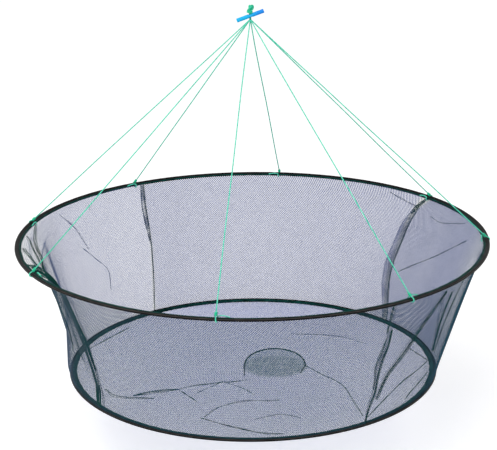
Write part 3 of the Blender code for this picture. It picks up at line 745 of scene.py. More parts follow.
# Each seam runs up the wall as (degrees round the hoop, share of the height), with its lap in metres.
SEAMS = [
    [(39.0, 0.0, 0.014), (39.7, 0.08, 0.017), (42.1, 0.26, 0.021), (42.5, 0.42, 0.023),
     (41.4, 0.55, 0.023), (39.8, 0.76, 0.021), (37.0, 0.92, 0.012), (34.2, 1.0, 0.004)],
    [(126.0, 0.0, 0.003), (124.1, 0.27, 0.003), (122.8, 0.51, 0.003), (122.9, 0.66, 0.008),
     (123.0, 0.81, 0.011), (122.2, 1.0, 0.008)],
    [(220.5, 0.0, 0.008), (222.2, 0.34, 0.010), (223.0, 0.57, 0.011), (222.0, 0.75, 0.011),
     (219.8, 1.0, 0.007)],
    [(303.6, 0.0, 0.003), (303.2, 0.17, 0.004), (303.9, 0.25, 0.007), (303.4, 0.38, 0.006),
     (302.8, 0.49, 0.012), (303.7, 0.63, 0.013), (303.9, 0.75, 0.006), (303.8, 1.0, 0.003)],
]
# Flat pleats in the front of the last panel, written as the seams are, with their width
PLEATS = [
    [(305.5, 0.20, 0.006), (307.0, 0.40, 0.014), (312.0, 0.58, 0.018), (316.5, 0.77, 0.016),
     (321.5, 0.94, 0.010)],
    [(326.0, 0.42, 0.005), (324.0, 0.69, 0.015), (325.0, 0.90, 0.009)],
    [(326.0, 0.42, 0.005), (323.5, 0.62, 0.012), (321.0, 0.88, 0.009)],
]
# The yarn of each panel, at its first seam and at its last: half its thickness, and how far its dye
# has gone to green. Both change along the panel between the two angles given for each, in degrees.
PANEL_YARN = [
    {"strand": (0.00063, 0.00063), "changing": (60, 61), "dye_and_shade": (0, 0), "greening": (60, 61)},
    {"strand": (0.00052, 0.00032), "changing": (158, 204), "dye_and_shade": (0, 1), "greening": (154, 204)},
    {"strand": (0.00031, 0.00031), "changing": (250, 251), "dye_and_shade": (1, 1), "greening": (250, 251)},
    {"strand": (0.00030, 0.00078), "changing": (351, 373), "dye_and_shade": (1, 0.15), "greening": (345, 372)},
]
# The pleats are fully darker green, as painted shade in the folded net
PLEAT_YARN = {"strand": (PLEAT_STRAND,) * 2, "changing": (0, 1), "dye_and_shade": (1, 1), "greening": (0, 1)}
YARN_INPUTS = ["Strand", "Last strand", "Changing from", "Changing to", "First dye", "Last dye"]
YARN_INPUTS += ["Greening from", "Greening to", "First lap", "Last lap"]


def strands_from(tree, lines, given, thickness=1.0, dye_and_shade=0.0):
    """Gives lines their body: even steps along each, the mark of the yarn's dyeing and painted shade, and a
    three-sided section.
    """
    real = add_node(tree, "GeometryNodeRealizeInstances", {"Geometry": lines})
    dyed = marked(tree, even_steps(tree, real, given["Step"]), "dye_and_shade", dye_and_shade)
    section = ring_section(tree, STRAND_SIDES, given["Strand"])
    follow = {"Curve": dyed, "Profile Curve": section, "Scale": thickness, "Fill Caps": True}
    return add_node(tree, "GeometryNodeCurveToMesh", follow)


def close_net(tree, families, given, thickness, dye_and_shade=0.0):
    """Ends a tree in families of strands, one lying on the other."""
    both = tree.nodes.new("GeometryNodeJoinGeometry")
    for family in families:
        tree.links.new(strands_from(tree, family, given, thickness, dye_and_shade), both.inputs["Geometry"])
    return close_tree(tree, both.outputs["Geometry"], given["Finish"])


def spot_along(tree, side):
    """Where a point lies along x, y or z."""
    spot = add_node(tree, "GeometryNodeInputPosition")
    return add_node(tree, "ShaderNodeSeparateXYZ", {"Vector": spot}, side)


def change(tree, along, start, end, first, last):
    """A value that goes from first to last between start and end."""
    inputs = {"Value": along, "From Min": start, "From Max": end, "To Min": first, "To Max": last}
    return add_node(tree, "ShaderNodeMapRange", inputs)


def lines_apart(tree, apart):
    """How far along each line of a family lies, by its number."""
    number = add_node(tree, "GeometryNodeInputIndex")
    return sums(tree, "MULTIPLY", sums(tree, "ADD", number, 0.5), apart)


def lines_on_points(tree, count, place, scale, start, end):
    """One straight line for each point, set at a place and scaled."""
    points = add_node(tree, "GeometryNodeMeshLine", {"Count": count, "Offset": (0, 0, 0)})
    spread = add_node(tree, "GeometryNodeSetPosition", {"Geometry": points, "Position": place})
    line = add_node(tree, "GeometryNodeCurvePrimitiveLine", {"Start": start, "End": end})
    inputs = {"Points": spread, "Instance": line, "Scale": scale}
    return add_node(tree, "GeometryNodeInstanceOnPoints", inputs)


def net_panel_tree():
    """A flat rectangle of netting: two families of slanting strands, one lying on the other.
    Its yarn changes across the panel, and where it laps the next one it is finer, and greener and darker as
    painted shade."""
    tree, given = new_tree("net_panel", "Width", "Height", "Pitch", "Step", *YARN_INPUTS)
    wide, high = given["Width"], given["Height"]
    apart = sums(tree, "MULTIPLY", given["Pitch"], math.sqrt(2))
    count = sums(tree, "CEIL", sums(tree, "DIVIDE", sums(tree, "ADD", wide, high), apart))
    start = sums(tree, "SUBTRACT", lines_apart(tree, apart), high)
    low = sums(tree, "MAXIMUM", sums(tree, "MULTIPLY", start, -1.0), 0.0)
    top = sums(tree, "MINIMUM", sums(tree, "SUBTRACT", wide, start), high)
    reach = sums(tree, "MAXIMUM", sums(tree, "SUBTRACT", top, low), LEAST_STRAND)
    place = vector(tree, sums(tree, "ADD", start, low), low)
    lines = lines_on_points(tree, count, place, vector(tree, reach, reach, reach), (0, 0, 0), (1, 1, 0))
    real = add_node(tree, "GeometryNodeRealizeInstances", {"Geometry": lines})
    x, y = spot_along(tree, "X"), spot_along(tree, "Y")
    over, under = (sums(tree, "MULTIPLY", given["Strand"], share) for share in (0.5, -0.5))
    lies = [vector(tree, x, y, over), vector(tree, sums(tree, "SUBTRACT", wide, x), y, under)]
    thicker = sums(tree, "DIVIDE", given["Last strand"], given["Strand"])
    thickness = change(tree, x, given["Changing from"], given["Changing to"], 1.0, thicker)
    dyes = (given["First dye"], given["Last dye"])
    dye_and_shade = change(tree, x, given["Greening from"], given["Greening to"], *dyes)
    first_lap = sums(tree, "LESS_THAN", x, given["First lap"])
    last_lap = sums(tree, "GREATER_THAN", x, sums(tree, "SUBTRACT", wide, given["Last lap"]))
    lapped = sums(tree, "MAXIMUM", first_lap, last_lap)
    # Laps turn darker green as painted shade where the net lies doubled
    dye_and_shade = sums(tree, "MAXIMUM", dye_and_shade, sums(tree, "MULTIPLY", lapped, LAP_SHADE))
    thickness = sums(tree, "MULTIPLY", thickness, sums(tree, "MULTIPLY_ADD", lapped, -LAP_SLIM, 1.0))
    families = []
    for lie in lies:
        inputs = {"Geometry": real, "Position": lie}
        families.append(add_node(tree, "GeometryNodeSetPosition", inputs))
    return close_net(tree, families, given, thickness, dye_and_shade)


def gathered_strand_tree():
    """Strands that follow given lines, for creases and gathers."""
    tree, given = new_tree("gathered_strands", "Strand", "Step")
    route = add_node(tree, "GeometryNodeMeshToCurve", {"Mesh": given["Geometry"]})
    return close_tree(tree, strands_from(tree, route, given), given["Finish"])


def dyed_net(name, shades, roughness, greener=None):
    """Dull polyethylene yarn with a fine twist, its dyeing uneven, and greener and darker where its own mark
    says so: painted shade in the laps and pleats, dyeing over the front panels.
    """
    finish, tree, shader = new_finish(name, Roughness=roughness, Specular_IOR_Level=0.08)
    place = own_place(tree)
    uneven = spots(tree, place, DYE_SPOTS, detail=10.0)
    colour = shaded(tree, uneven, shades, DYE_STOPS)
    if greener:
        dye_and_shade = add_node(tree, "ShaderNodeAttribute", out="Fac", attribute_name="dye_and_shade")
        colour = mixed(tree, dye_and_shade, colour, shaded(tree, uneven, greener, DYE_STOPS))
    paint(tree, shader, colour, spots(tree, place, YARN_SPOTS, detail=1.0), YARN_TWIST, strength=0.7)
    return finish


def yarn_area(cloth, strand, pitch):
    """The flat area of a net's own yarn, without the holes, for an area of cloth."""
    return cloth * min(1, 2 * math.sqrt(3) * strand / pitch)


def lay(mesh, surface, flatness=STRAND_FLATNESS):
    """Puts a flat net on a surface, where each point keeps its height off the cloth, pressed flatter."""
    flat = np.zeros(len(mesh.vertices) * 3, np.float32)
    mesh.vertices.foreach_get("co", flat)
    flat = flat.reshape(-1, 3).astype(float)
    u, v = flat[:, 0], flat[:, 1]
    tiny = 1e-4
    place = surface(u, v)
    normal = np.cross(surface(u + tiny, v) - place, surface(u, v + tiny) - place)
    normal /= np.linalg.norm(normal, axis=1, keepdims=True) + 1e-12
    laid = place + flatness * normal * flat[:, 2:3]
    mesh.vertices.foreach_set("co", laid.astype(np.float32).ravel())
    mesh.update()
    return mesh


def join(name, meshes):
    """One mesh from several, with each one's own finish."""
    whole = bmesh.new()
    finishes = []
    for mesh in meshes:
        finish = next(m for m in mesh.materials if m)
        if finish not in finishes:
            finishes.append(finish)
        mesh.polygons.foreach_set("material_index", [finishes.index(finish)] * len(mesh.polygons))
        whole.from_mesh(mesh)
    joined = bpy.data.meshes.new(name)
    whole.to_mesh(joined)
    whole.free()
    for finish in finishes:
        joined.materials.append(finish)
    return joined


def wall_radius(height):
    """The wall's radius at a share of its height."""
    return WALL_BOTTOM_RADIUS + (WALL_TOP_RADIUS - WALL_BOTTOM_RADIUS) * height


def wall_place(angle, height, lift=0.0):
    """Points on the wall by angle and share of its height, lifted off it outwards. It billows a little."""
    z = WALL_BOTTOM + (WALL_TOP - WALL_BOTTOM) * height
    swell = sum(size * np.sin(n * angle + turn + lean * height) for n, turn, lean, size in BILLOW_WAVES)
    off = lift + WALL_BILLOW * np.sin(math.pi * np.clip(height, 0, 1)) * swell
    share = np.interp(angle % math.tau, PULL_FROM, (0, 1, 1, 0))
    off = off - PULL_IN * share**2 * (3 - 2 * share) * np.interp(height, *zip(*PULL_HEIGHTS))
    # The pulled net still clears the bottom hoop, so that the trap folds flat round it
    radius = wall_radius(height)
    radius = np.maximum(radius + off * math.cos(WALL_SLOPE), np.minimum(radius, PULL_LEAST))
    return np.stack([radius * np.cos(angle), radius * np.sin(angle), z - off * math.sin(WALL_SLOPE)], axis=1)


def seam_at(seam, height, side):
    """The angle of a seam's lapped edge at a height, on one side of it."""
    angles, heights, laps = (np.array(values) for values in zip(*seam))
    lap = np.interp(height, heights, laps)
    return np.radians(np.interp(height, heights, angles)) + side * lap / 2 / wall_radius(height)


def wall_panel(left, right, lift, yarn):
    """A piece of net from one seam to the next, anticlockwise, lapping both. Gives its mesh, its width
    and the flat area of its yarn."""
    low, high = left[0][1], left[-1][1]
    half = np.array([(low + high) / 2])
    middle = wall_radius(PANEL_MEASURED)
    begin = seam_at(left, half, -1)[0]
    width = (seam_at(right, half, 1)[0] - begin) % math.tau * middle
    changing, greening = (
        [(math.radians(a) - begin) * middle for a in yarn[key]] for key in ("changing", "greening")
    )
    laps = [LAP_SHARE * sum(lap for *_, lap in seam) / len(seam) for seam in (left, right)]
    sizes = dict(zip(YARN_INPUTS, map(float, (*yarn["strand"], *changing, *yarn["dye_and_shade"], *greening, *laps))))
    sizes.update(Width=width, Height=WALL_SLANT * (high - low), Pitch=MESH_PITCH, Step=STRAND_STEP)
    flat = grow(panel_tree, bpy.data.meshes.new("flat"), Finish=net_finish, **sizes)
    strands = np.interp(np.linspace(0, width, YARN_SAMPLES), changing, yarn["strand"])

    def surface(u, v):
        height = low + v / WALL_SLANT
        start = seam_at(left, height, -1)
        end = start + (seam_at(right, height, 1) - start) % math.tau
        across = u / width
        return wall_place(start + (end - start) * across, height, lift + LAP_LIFT * across)

    return lay(flat, surface), width, yarn_area(width * WALL_SLANT, strands.mean(), MESH_PITCH)


panel_tree = net_panel_tree()
strand_tree = gathered_strand_tree()
net_finish = dyed_net("net_yarn", (NET_SLATE, NET_LILAC), 0.6, (NET_GREEN, NET_PINE))
# The same yarn painted darker as shade where the net is gathered
fold_shaded_finish = dyed_net("net_folds_shaded", (FOLD_SHADED_DEEP, FOLD_SHADED_GREEN), 0.55)

# Creases, seam edges and the gathered bunch, held in the panels
# Spare net drawn together into thick lines, dark from painted shade in their finish. Each runs through points
# given as (degrees round the hoop, share of the height), and has a width, a count of strands and how far it
# stands inwards.
CREASE_STRAND = 0.00032
SEAM_STRAND = 0.00042
BUNCH_STRAND = 0.00055
CREASE_STEP = 0.005
CREASE_POINTS = 8
CREASE_WANDER = 0.0005
CREASE_WAVES = 15
CREASE_DRAW_IN = 0.5
CREASE_LIFT = 0.0009
CREASES = [
    ([(48, 0.97), (43.5, 0.94), (37, 0.92), (35, 0.99)], 0.0035, 4, 0.0),
    ([(38.6, 0.85), (36.6, 0.93), (34.3, 0.995)], 0.0075, 8, 0.001),
    ([(10, 0.86), (25, 0.60), (38, 0.39)], 0.0018, 3, 0.0),
    ([(31, 0.88), (25.5, 0.87), (14, 0.96)], 0.0014, 2, 0.0),
    ([(154, 0.96), (149, 0.81), (146, 0.62)], 0.0022, 3, 0.0),
    ([(148, 0.64), (144.5, 0.54), (140.5, 0.41), (141.5, 0.26)], 0.0022, 3, 0.0),
    ([(141.5, 0.95), (141.5, 0.89)], 0.0010, 1, 0.0),
    ([(203, 0.99), (198, 0.92), (196, 0.80), (196, 0.71), (199.5, 0.60), (202, 0.46), (201, 0.28)],
     0.0060, 6, 0.0),
    ([(168, 0.99), (174, 0.96), (181, 0.93), (189, 0.88), (198, 0.86)], 0.0080, 8, 0.001),
    ([(177, 0.99), (184, 0.95), (190, 0.91), (200, 0.88)], 0.0050, 6, 0.001),
    ([(187, 0.99), (193, 0.97), (201, 0.93)], 0.0060, 7, 0.001),
    ([(303, 0.99), (303, 0.76)], 0.0045, 6, 0.0),
    ([(321.5, 0.94), (316.5, 0.77), (312, 0.58), (307, 0.40), (305.5, 0.20)], 0.0085, 8, 0.0),
    ([(325, 0.90), (324, 0.69), (326, 0.42)], 0.0060, 6, 0.0),
    ([(324, 0.36), (319, 0.31), (312, 0.25), (303, 0.04)], 0.0022, 4, 0.0),
    ([(313, 0.56), (318, 0.47), (324.5, 0.36)], 0.0018, 3, 0.0),
    ([(328, 0.23), (322.5, 0.16), (319, 0.09)], 0.0018, 3, 0.0),
    ([(330, 0.96), (328, 0.80), (327, 0.60), (327.5, 0.40)], 0.0040, 4, 0.0),
    ([(255.5, 0.17), (263, 0.12), (272, 0.06), (278.5, 0.04)], 0.0030, 4, 0.0),
    ([(256.5, 0.18), (261, 0.28), (268, 0.34), (276.5, 0.34)], 0.0016, 2, 0.0),
]
# The bunch at the left, where the net is drawn together under one hitch
BUNCHES = [
    ([(200, 0.98), (205, 0.97), (210, 0.95), (215, 0.90)], 0.0160, 18, 0.004),
    ([(205, 1.0), (206, 0.93), (209, 0.82), (213, 0.66), (217, 0.50), (218.5, 0.29), (218.5, 0.02)],
     0.026, 13, 0.003),
    ([(206, 1.0), (212, 0.95), (216, 0.80), (219, 0.68), (221.5, 0.54), (222, 0.35)], 0.0140, 7, 0.002),
]
# The sewn edges of the laps: which seam, which side of it, the heights between, width and strands
SEAM_EDGES = [
    (0, -1, 0.0, 0.92, 0.0030, 3),
    (0, 1, 0.0, 0.92, 0.0012, 1),
    (1, -1, 0.0, 1.0, 0.0025, 3),
    (1, 1, 0.55, 1.0, 0.0020, 2),
    (3, 1, 0.0, 0.78, 0.0040, 5),
    (3, -1, 0.3, 0.72, 0.0020, 2),
]
# A fold whose middle lies so few radians before a seam is held in the panel after it
SEAM_MARGIN = 0.02
crease_draws = np.random.default_rng(31)


def flat_spine(places, count):
    """A smooth flat line through places, as x and y."""
    return np.array(smooth_route([Vector((x, y, 0)) for x, y in places], count))[:, :2]


def beside(spine, side, draw_in, drift):
    """A flat line so far beside a spine. It wanders a little, and draws in to the spine at both ends.
    Gives the line, and how far each point has swelled out from the ends."""
    ahead = np.gradient(spine, axis=0)
    sideways = np.stack([-ahead[:, 1], ahead[:, 0]], axis=1) / np.linalg.norm(ahead, axis=1)[:, None]
    share = np.linspace(0, 1, len(spine))
    swell = np.sin(math.pi * share)
    off = side * (1 - draw_in * (1 - swell)) + CREASE_WANDER * np.sin(CREASE_WAVES * share + drift)
    return spine + sideways * off[:, None], swell


def crease_lines(route, width, count, stand):
    """Gathered strands side by side along a crease on the wall."""
    middle = wall_radius(0.5)
    places = [(math.radians(angle) * middle, height * WALL_SLANT) for angle, height in route]
    length = sum(math.dist(a, b) for a, b in zip(places, places[1:]))
    spine = flat_spine(places, max(CREASE_POINTS, int(length / CREASE_STEP)))
    lines = []
    for k in range(count):
        side = ((k + crease_draws.uniform(0.2, 0.8)) / count - 0.5) * width
        drift, lift = crease_draws.uniform(0, math.tau), crease_draws.uniform(-1, 1)
        line, swell = beside(spine, side, CREASE_DRAW_IN, drift)
        heights = np.clip(line[:, 1] / WALL_SLANT, 0, 1)
        off = CREASE_LIFT * lift - stand * swell * (1 + lift)
        lines.append(wall_place(line[:, 0] / middle, heights, off))
    return lines


def seam_edge_route(seam, side, low, high):
    """A seam's lapped edge as crease points."""
    heights = np.linspace(low, high, 7)
    return list(zip(np.degrees(seam_at(seam, heights, LAP_SHARE * side)), heights))


def strand_mesh(lines, strand, step):
    """Gathered strands along given lines, in the fold finish: the net's yarn painted darker as shade."""
    return grow(strand_tree, line_mesh(lines), Strand=strand, Step=step, Finish=fold_shaded_finish)


def holder_of(route):
    """Which panel a crease or pleat lies in."""
    middle = math.radians(sum(place[0] for place in route) / len(route)) % math.tau + SEAM_MARGIN
    starts = [seam_at(seam, np.array([0.5]), 0)[0] for seam in SEAMS]
    if middle < min(starts):
        return len(SEAMS) - 1
    return max(range(len(SEAMS)), key=lambda i: starts[i] if starts[i] <= middle else -1)


fold_runs = {CREASE_STRAND: CREASES, BUNCH_STRAND: BUNCHES, SEAM_STRAND: []}
for which, side, low, high, width, count in SEAM_EDGES:
    fold_runs[SEAM_STRAND].append((seam_edge_route(SEAMS[which], side, low, high), width, count, 0.0))
panel_folds = [[] for _ in SEAMS]
for strand, runs in fold_runs.items():
    lines = [[] for _ in SEAMS]
    for route, *shape in runs:
        lines[holder_of(route)] += crease_lines(route, *shape)
    for folds, held in zip(panel_folds, lines):
        if held:
            folds.append(strand_mesh(held, strand, CREASE_STEP))
for strip in SEAMS[1:] + PLEATS:
    panel_folds[holder_of(strip)].append(wall_panel(strip, strip, PLEAT_LIFT, PLEAT_YARN)[0])

wall_nets = [f"wall_net_{band}" for band in range(1, 6)]
panels = zip(SEAMS, SEAMS[1:] + SEAMS[:1], PANEL_YARN, panel_folds)
for number, (left, right, yarn, folds) in enumerate(panels, 1):
    name = f"wall_panel_{number}"
    mesh, width, area = wall_panel(left, right, PANEL_LIFT, yarn)
    # The first panel stands for the five bands that the wall folds in
    stands_for = wall_nets if number == 1 else []
    panel = place_piece(name, join(name, [mesh] + folds), "upper_frame", "net", *stands_for)
    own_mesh(panel)

# The wall's rolled top edge
# The wall net's cut edge, rolled over and sewn down on the top hem as a thin cord of yarn, dark green partly
# from the yarn and partly from painted shade.
EDGE_MIDDLE = (0.3925, -0.3983)
EDGE_SIZE = (0.0022, 0.0007)
EDGE_STRANDS = 5
EDGE_STRAND = 0.0007
EDGE_STEP = 0.006
ROLL_STATIONS = 640
ROLL_TURNS = 8
ROLL_SWAY = 0.8
ROLL_SWAYS = 23
ROLL_FULL = 0.72
# Lumps round the roll: how many, how many times its drift turns each, and how high
ROLL_LUMPS = [(61, 1, 0.10), (143, 2, 0.08)]
ROLL_LOWEST = BOTTOM_PLANE - 0.00165


def edge_roll(middle, size, strands, seed, slim=0.0, dip=0.0):
    """Gathered strands twisted loosely round a hoop's hem, as (radius, level) and half its (width, height).
    At the front the roll is slimmer by a share, and lies lower."""
    draws = np.random.default_rng(seed)
    lines = []
    for k in range(strands):
        drift = draws.uniform(0, math.tau)
        line = []
        for i in range(ROLL_STATIONS + 1):
            angle = math.tau * i / ROLL_STATIONS
            sway = ROLL_SWAY * math.sin(ROLL_SWAYS * angle + drift)
            turn = math.tau * k / strands + ROLL_TURNS * angle + sway
            front = max(0, -math.sin(angle))
            lumps = sum(high * math.sin(n * angle + shift * drift) for n, shift, high in ROLL_LUMPS)
            fat = (ROLL_FULL + lumps) * (1 - slim * front)
            z = max(middle[1] - dip * front + size[1] * fat * math.sin(turn), ROLL_LOWEST)
            line.append(ring_point(middle[0] + size[0] * fat * math.cos(turn), angle, z))
        lines.append(line)
    return lines


edge_lines = edge_roll(EDGE_MIDDLE, EDGE_SIZE, EDGE_STRANDS, seed=29)
edge_mesh = strand_mesh(edge_lines, EDGE_STRAND, EDGE_STEP)
place_piece("wall_edge_roll", join("wall_edge_roll", [edge_mesh]), "upper_frame", "net")

# Net floor and its rolled edge
# A round of the same netting laid inside the bottom hoop. Its cut edge is rolled up with the wall's
# and sewn down on the hem, which makes the thick ring inside the tape, dark green partly from the yarn and
# partly from painted shade.
FLOOR_RADIUS = 0.3105
FLOOR_LEVEL = -0.63165
FLOOR_PITCH = 0.0026
FLOOR_STRAND = 0.00047
FLOOR_SWELL = 1.2
FLOOR_FLATNESS = 0.2
FLOOR_STEP = 0.011
FLOOR_UNEVEN = 0.0003
FLOOR_WAVES = (31, 17)
FLOOR_SLATE = (0.165, 0.220, 0.520, 1)
FLOOR_LILAC = (0.230, 0.285, 0.620, 1)
ROLL_SIZE = (0.0042, 0.0021)
ROLL_MIDDLE = (0.3101, -0.6290)
ROLL_STRANDS = 14
ROLL_STRAND = 0.0010
ROLL_STEP = 0.0045
ROLL_SLIM = 0.6
ROLL_DIP = 0.0012
# Wrinkles in the floor: the points that each one runs through, how high it stands, how wide it is
# gathered and by how many strands
WRINKLES = [
    ([(0.086, -0.009), (0.119, -0.063), (0.151, -0.111), (0.176, -0.228)], 0.0032, 0.0040, 2),
    ([(-0.295, 0.070), (-0.260, 0.118), (-0.227, 0.179)], 0.0030, 0.0022, 3),
    ([(-0.127, -0.114), (-0.100, -0.103), (-0.050, -0.092), (-0.011, -0.075)], 0.0026, 0.0022, 3),
    ([(-0.094, -0.129), (-0.052, -0.094), (-0.019, -0.114), (0.001, -0.138)], 0.0026, 0.0012, 2),
    ([(0.205, 0.085), (0.150, 0.120), (0.070, 0.138)], 0.0022, 0.0012, 2),
    ([(-0.201, -0.138), (-0.164, -0.125), (-0.127, -0.114)], 0.0026, 0.0120, 6),
    ([(-0.127, -0.114), (-0.112, -0.140), (-0.094, -0.165)], 0.0022, 0.0022, 3),
    ([(-0.250, -0.110), (-0.225, -0.145), (-0.165, -0.150)], 0.0022, 0.0080, 3),
    ([(0.001, -0.237), (0.043, -0.223), (0.076, -0.232)], 0.0022, 0.0012, 2),
]
WRINKLE_WIDTH = 0.006
WRINKLE_POINTS = 40
WRINKLE_DRAW_IN = 0.6
WRINKLE_STEP = 0.004


def net_round_tree():
    """A flat round of netting: two families of chords, one lying on the other, thicker towards the back."""
    tree, given = new_tree("net_round", "Radius", "Pitch", "Strand", "Step", "Swell")
    radius, pitch = given["Radius"], given["Pitch"]
    count = sums(tree, "CEIL", sums(tree, "DIVIDE", sums(tree, "MULTIPLY", radius, 2.0), pitch))
    off = sums(tree, "SUBTRACT", lines_apart(tree, pitch), radius)
    room = sums(tree, "SUBTRACT", *(sums(tree, "MULTIPLY", side, side) for side in (radius, off)))
    half = sums(tree, "SQRT", sums(tree, "MAXIMUM", room, 1e-7))
    place, scale = vector(tree, 0.0, off), vector(tree, half, 1.0, 1.0)
    lines = lines_on_points(tree, count, place, scale, (-1, 0, 0), (1, 0, 0))
    thickness = sums(tree, "MULTIPLY_ADD", spot_along(tree, "Y"), given["Swell"], 1.0)
    families = []
    for turn, share in ((math.radians(45), 0.5), (math.radians(-45), -0.5)):
        lift = vector(tree, 0.0, 0.0, sums(tree, "MULTIPLY", given["Strand"], share))
        inputs = {"Geometry": lines, "Translation": lift, "Rotation": (0, 0, turn)}
        families.append(add_node(tree, "GeometryNodeTransform", inputs))
    return close_net(tree, families, given, thickness)


def net_round(radius, pitch, strand, step, swell, finish):
    """A flat round of net."""
    sizes = {"Radius": radius, "Pitch": pitch, "Strand": strand, "Step": step, "Swell": swell}
    return grow(round_tree, bpy.data.meshes.new("flat"), Finish=finish, **sizes)


def distance_to_route(x, y, route):
    """How far points lie from a route, and the share of its length where they meet it."""
    best = np.full(x.shape, np.inf)
    share = np.zeros(x.shape)
    for i, ((ax, ay), (bx, by)) in enumerate(zip(route, route[1:])):
        run = (bx - ax) ** 2 + (by - ay) ** 2
        t = np.clip(((x - ax) * (bx - ax) + (y - ay) * (by - ay)) / run, 0, 1)
        gap = np.hypot(x - ax - t * (bx - ax), y - ay - t * (by - ay))
        nearer = gap < best
        best = np.where(nearer, gap, best)
        share = np.where(nearer, (i + t) / (len(route) - 1), share)
    return best, share


def floor_place(x, y):
    """Points on the floor net, which lies flat but for its wrinkles."""
    height = FLOOR_UNEVEN * (np.sin(FLOOR_WAVES[0] * x + 2 * np.sin(FLOOR_WAVES[1] * y)) + 1)
    for route, rise, *_ in WRINKLES:
        gap, share = distance_to_route(x, y, route)
        height = height + rise * np.exp(-((gap / WRINKLE_WIDTH) ** 2)) * np.sin(math.pi * share)
    return np.stack([x, y, FLOOR_LEVEL + height], axis=1)


round_tree = net_round_tree()
floor_finish = dyed_net("floor_yarn", (FLOOR_SLATE, FLOOR_LILAC), 0.6)
floor_flat = net_round(FLOOR_RADIUS, FLOOR_PITCH, FLOOR_STRAND, FLOOR_STEP, FLOOR_SWELL, floor_finish)
floor_parts = [lay(floor_flat, floor_place, FLOOR_FLATNESS)]
wrinkle_draws = np.random.default_rng(41)
wrinkle_lines = []
for route, _, width, count in WRINKLES:
    spine = flat_spine(route, WRINKLE_POINTS)
    for k in range(count):
        side = ((k + wrinkle_draws.uniform(0.2, 0.8)) / count - 0.5) * width
        wrinkle_lines.append(floor_place(*beside(spine, side, WRINKLE_DRAW_IN, k)[0].T))
floor_parts.append(strand_mesh(wrinkle_lines, SEAM_STRAND, WRINKLE_STEP))
floor_mesh = join("floor_net_cloth", floor_parts)
floor_cloth = place_piece("floor_net_cloth", floor_mesh, "lower_frame", "net", "floor_net")
roll_lines = edge_roll(ROLL_MIDDLE, ROLL_SIZE, ROLL_STRANDS, seed=23, slim=ROLL_SLIM, dip=ROLL_DIP)
roll_mesh = join("floor_edge_roll", [strand_mesh(roll_lines, ROLL_STRAND, ROLL_STEP)])
place_piece("floor_edge_roll", roll_mesh, "lower_frame", "net", "floor_rolled_edge")

# Bait pocket
# A doubled patch of netting sewn to the floor along its front half, with a loose mouth at the back
# that a thin dark drawcord runs round. The cord's two ends trail forwards over the floor.
POCKET_MIDDLE = (0.038, -0.019)
POCKET_HALF_WIDTH = 0.052
POCKET_HALF_DEPTH = 0.044
POCKET_MOUTH = 0.014
POCKET_END = 0.006
POCKET_MARGIN = 0.004
POCKET_HINGE = -0.629475
POCKET_CLEAR = 0.0004
POCKET_CRUMPLE = 0.0009
CRUMPLE_WAVES = (9, 5)
POCKET_BASE = -0.630275
BACKING_PITCH = 0.0026
BACKING_TURN = math.radians(24)
POCKET_PITCH = 0.0016
POCKET_TURN = math.radians(-9)
POCKET_STEP = 0.003
STRAND_SHARE = 0.1125
POCKET_FLATNESS = 0.08
POCKET_GREEN = (0.150, 0.255, 0.310, 1)
POCKET_PALE = (0.230, 0.345, 0.430, 1)
HEM_STRANDS = 4
HEM_STRAND = 0.00045
HEM_POINTS = 30
HEM_ENDS = (0.02, 0.98)
HEM_ROW = 0.02
HEM_PILE = 0.0005
HEM_WANDER = 0.0003
HEM_WAVES = 40
DRAWCORD_RADIUS = 0.0008
DRAWCORD_LOFT = 1.3
DRAWCORD_TWIST = 0.005
DRAWCORD_GAP = 0.0006
DRAWCORD_TAILS = (0.046, 0.036)
DRAWCORD_SWAY = (0.0, -0.010)
DRAWCORD_DARK = (0.004, 0.014, 0.017, 1)
DRAWCORD_WORN = (0.012, 0.040, 0.046, 1)
MOUTH_POINTS = 11


def pocket_across(arch):
    """Half the pocket's depth where its outline has arched so far, from 0 at its ends to 1."""
    return POCKET_END / 2 + (POCKET_HALF_DEPTH - POCKET_END / 2) * arch


def pocket_place(t, v):
    """Points on the pocket from its sewn edge, v 0, to its mouth, v 1, and t 0 to 1 from end to end."""
    turn = math.pi * (1 - t)
    arch = np.sin(turn)
    x = POCKET_MIDDLE[0] + POCKET_HALF_WIDTH * np.cos(turn)
    y = POCKET_MIDDLE[1] + pocket_across(arch) * (2 * v - 1)
    waves = np.sin(CRUMPLE_WAVES[0] * t + CRUMPLE_WAVES[1] * v)
    crumple = POCKET_CRUMPLE * arch * waves * np.sin(math.pi * np.clip(v, 0, 1))
    z = POCKET_HINGE + POCKET_CLEAR + POCKET_MOUTH * arch * v * (2 - v) + crumple
    return np.stack([x, y, z], axis=-1)


def on_pocket(x, y):
    """A flat oval of net on the pocket's rounded top."""
    t = 1 - np.arccos(np.clip(x / POCKET_HALF_WIDTH, -1, 1)) / math.pi
    across = pocket_across(np.sqrt(np.clip(1 - (x / POCKET_HALF_WIDTH) ** 2, 0, 1)))
    place = pocket_place(t, np.clip(0.5 + y / across / 2, 0, 1))
    place[:, 0] = POCKET_MIDDLE[0] + x
    return place


def net_oval(half_width, half_depth, pitch, turn):
    """A flat oval of net, made round, turned and then drawn out."""
    flat = net_round(half_depth, pitch, STRAND_SHARE * pitch, POCKET_STEP, 0.0, pocket_finish)
    flat.transform(Matrix.Rotation(turn, 4, "Z"))
    flat.transform(Matrix.Diagonal((half_width / half_depth, 1, POCKET_FLATNESS, 1)))
    return flat


def pocket_sheet(name, meshes, body, node):
    """One layer of the pocket, an oval cut of net, on its body."""
    layer = place_piece(name, join(name, meshes), body, "net", node)
    return layer


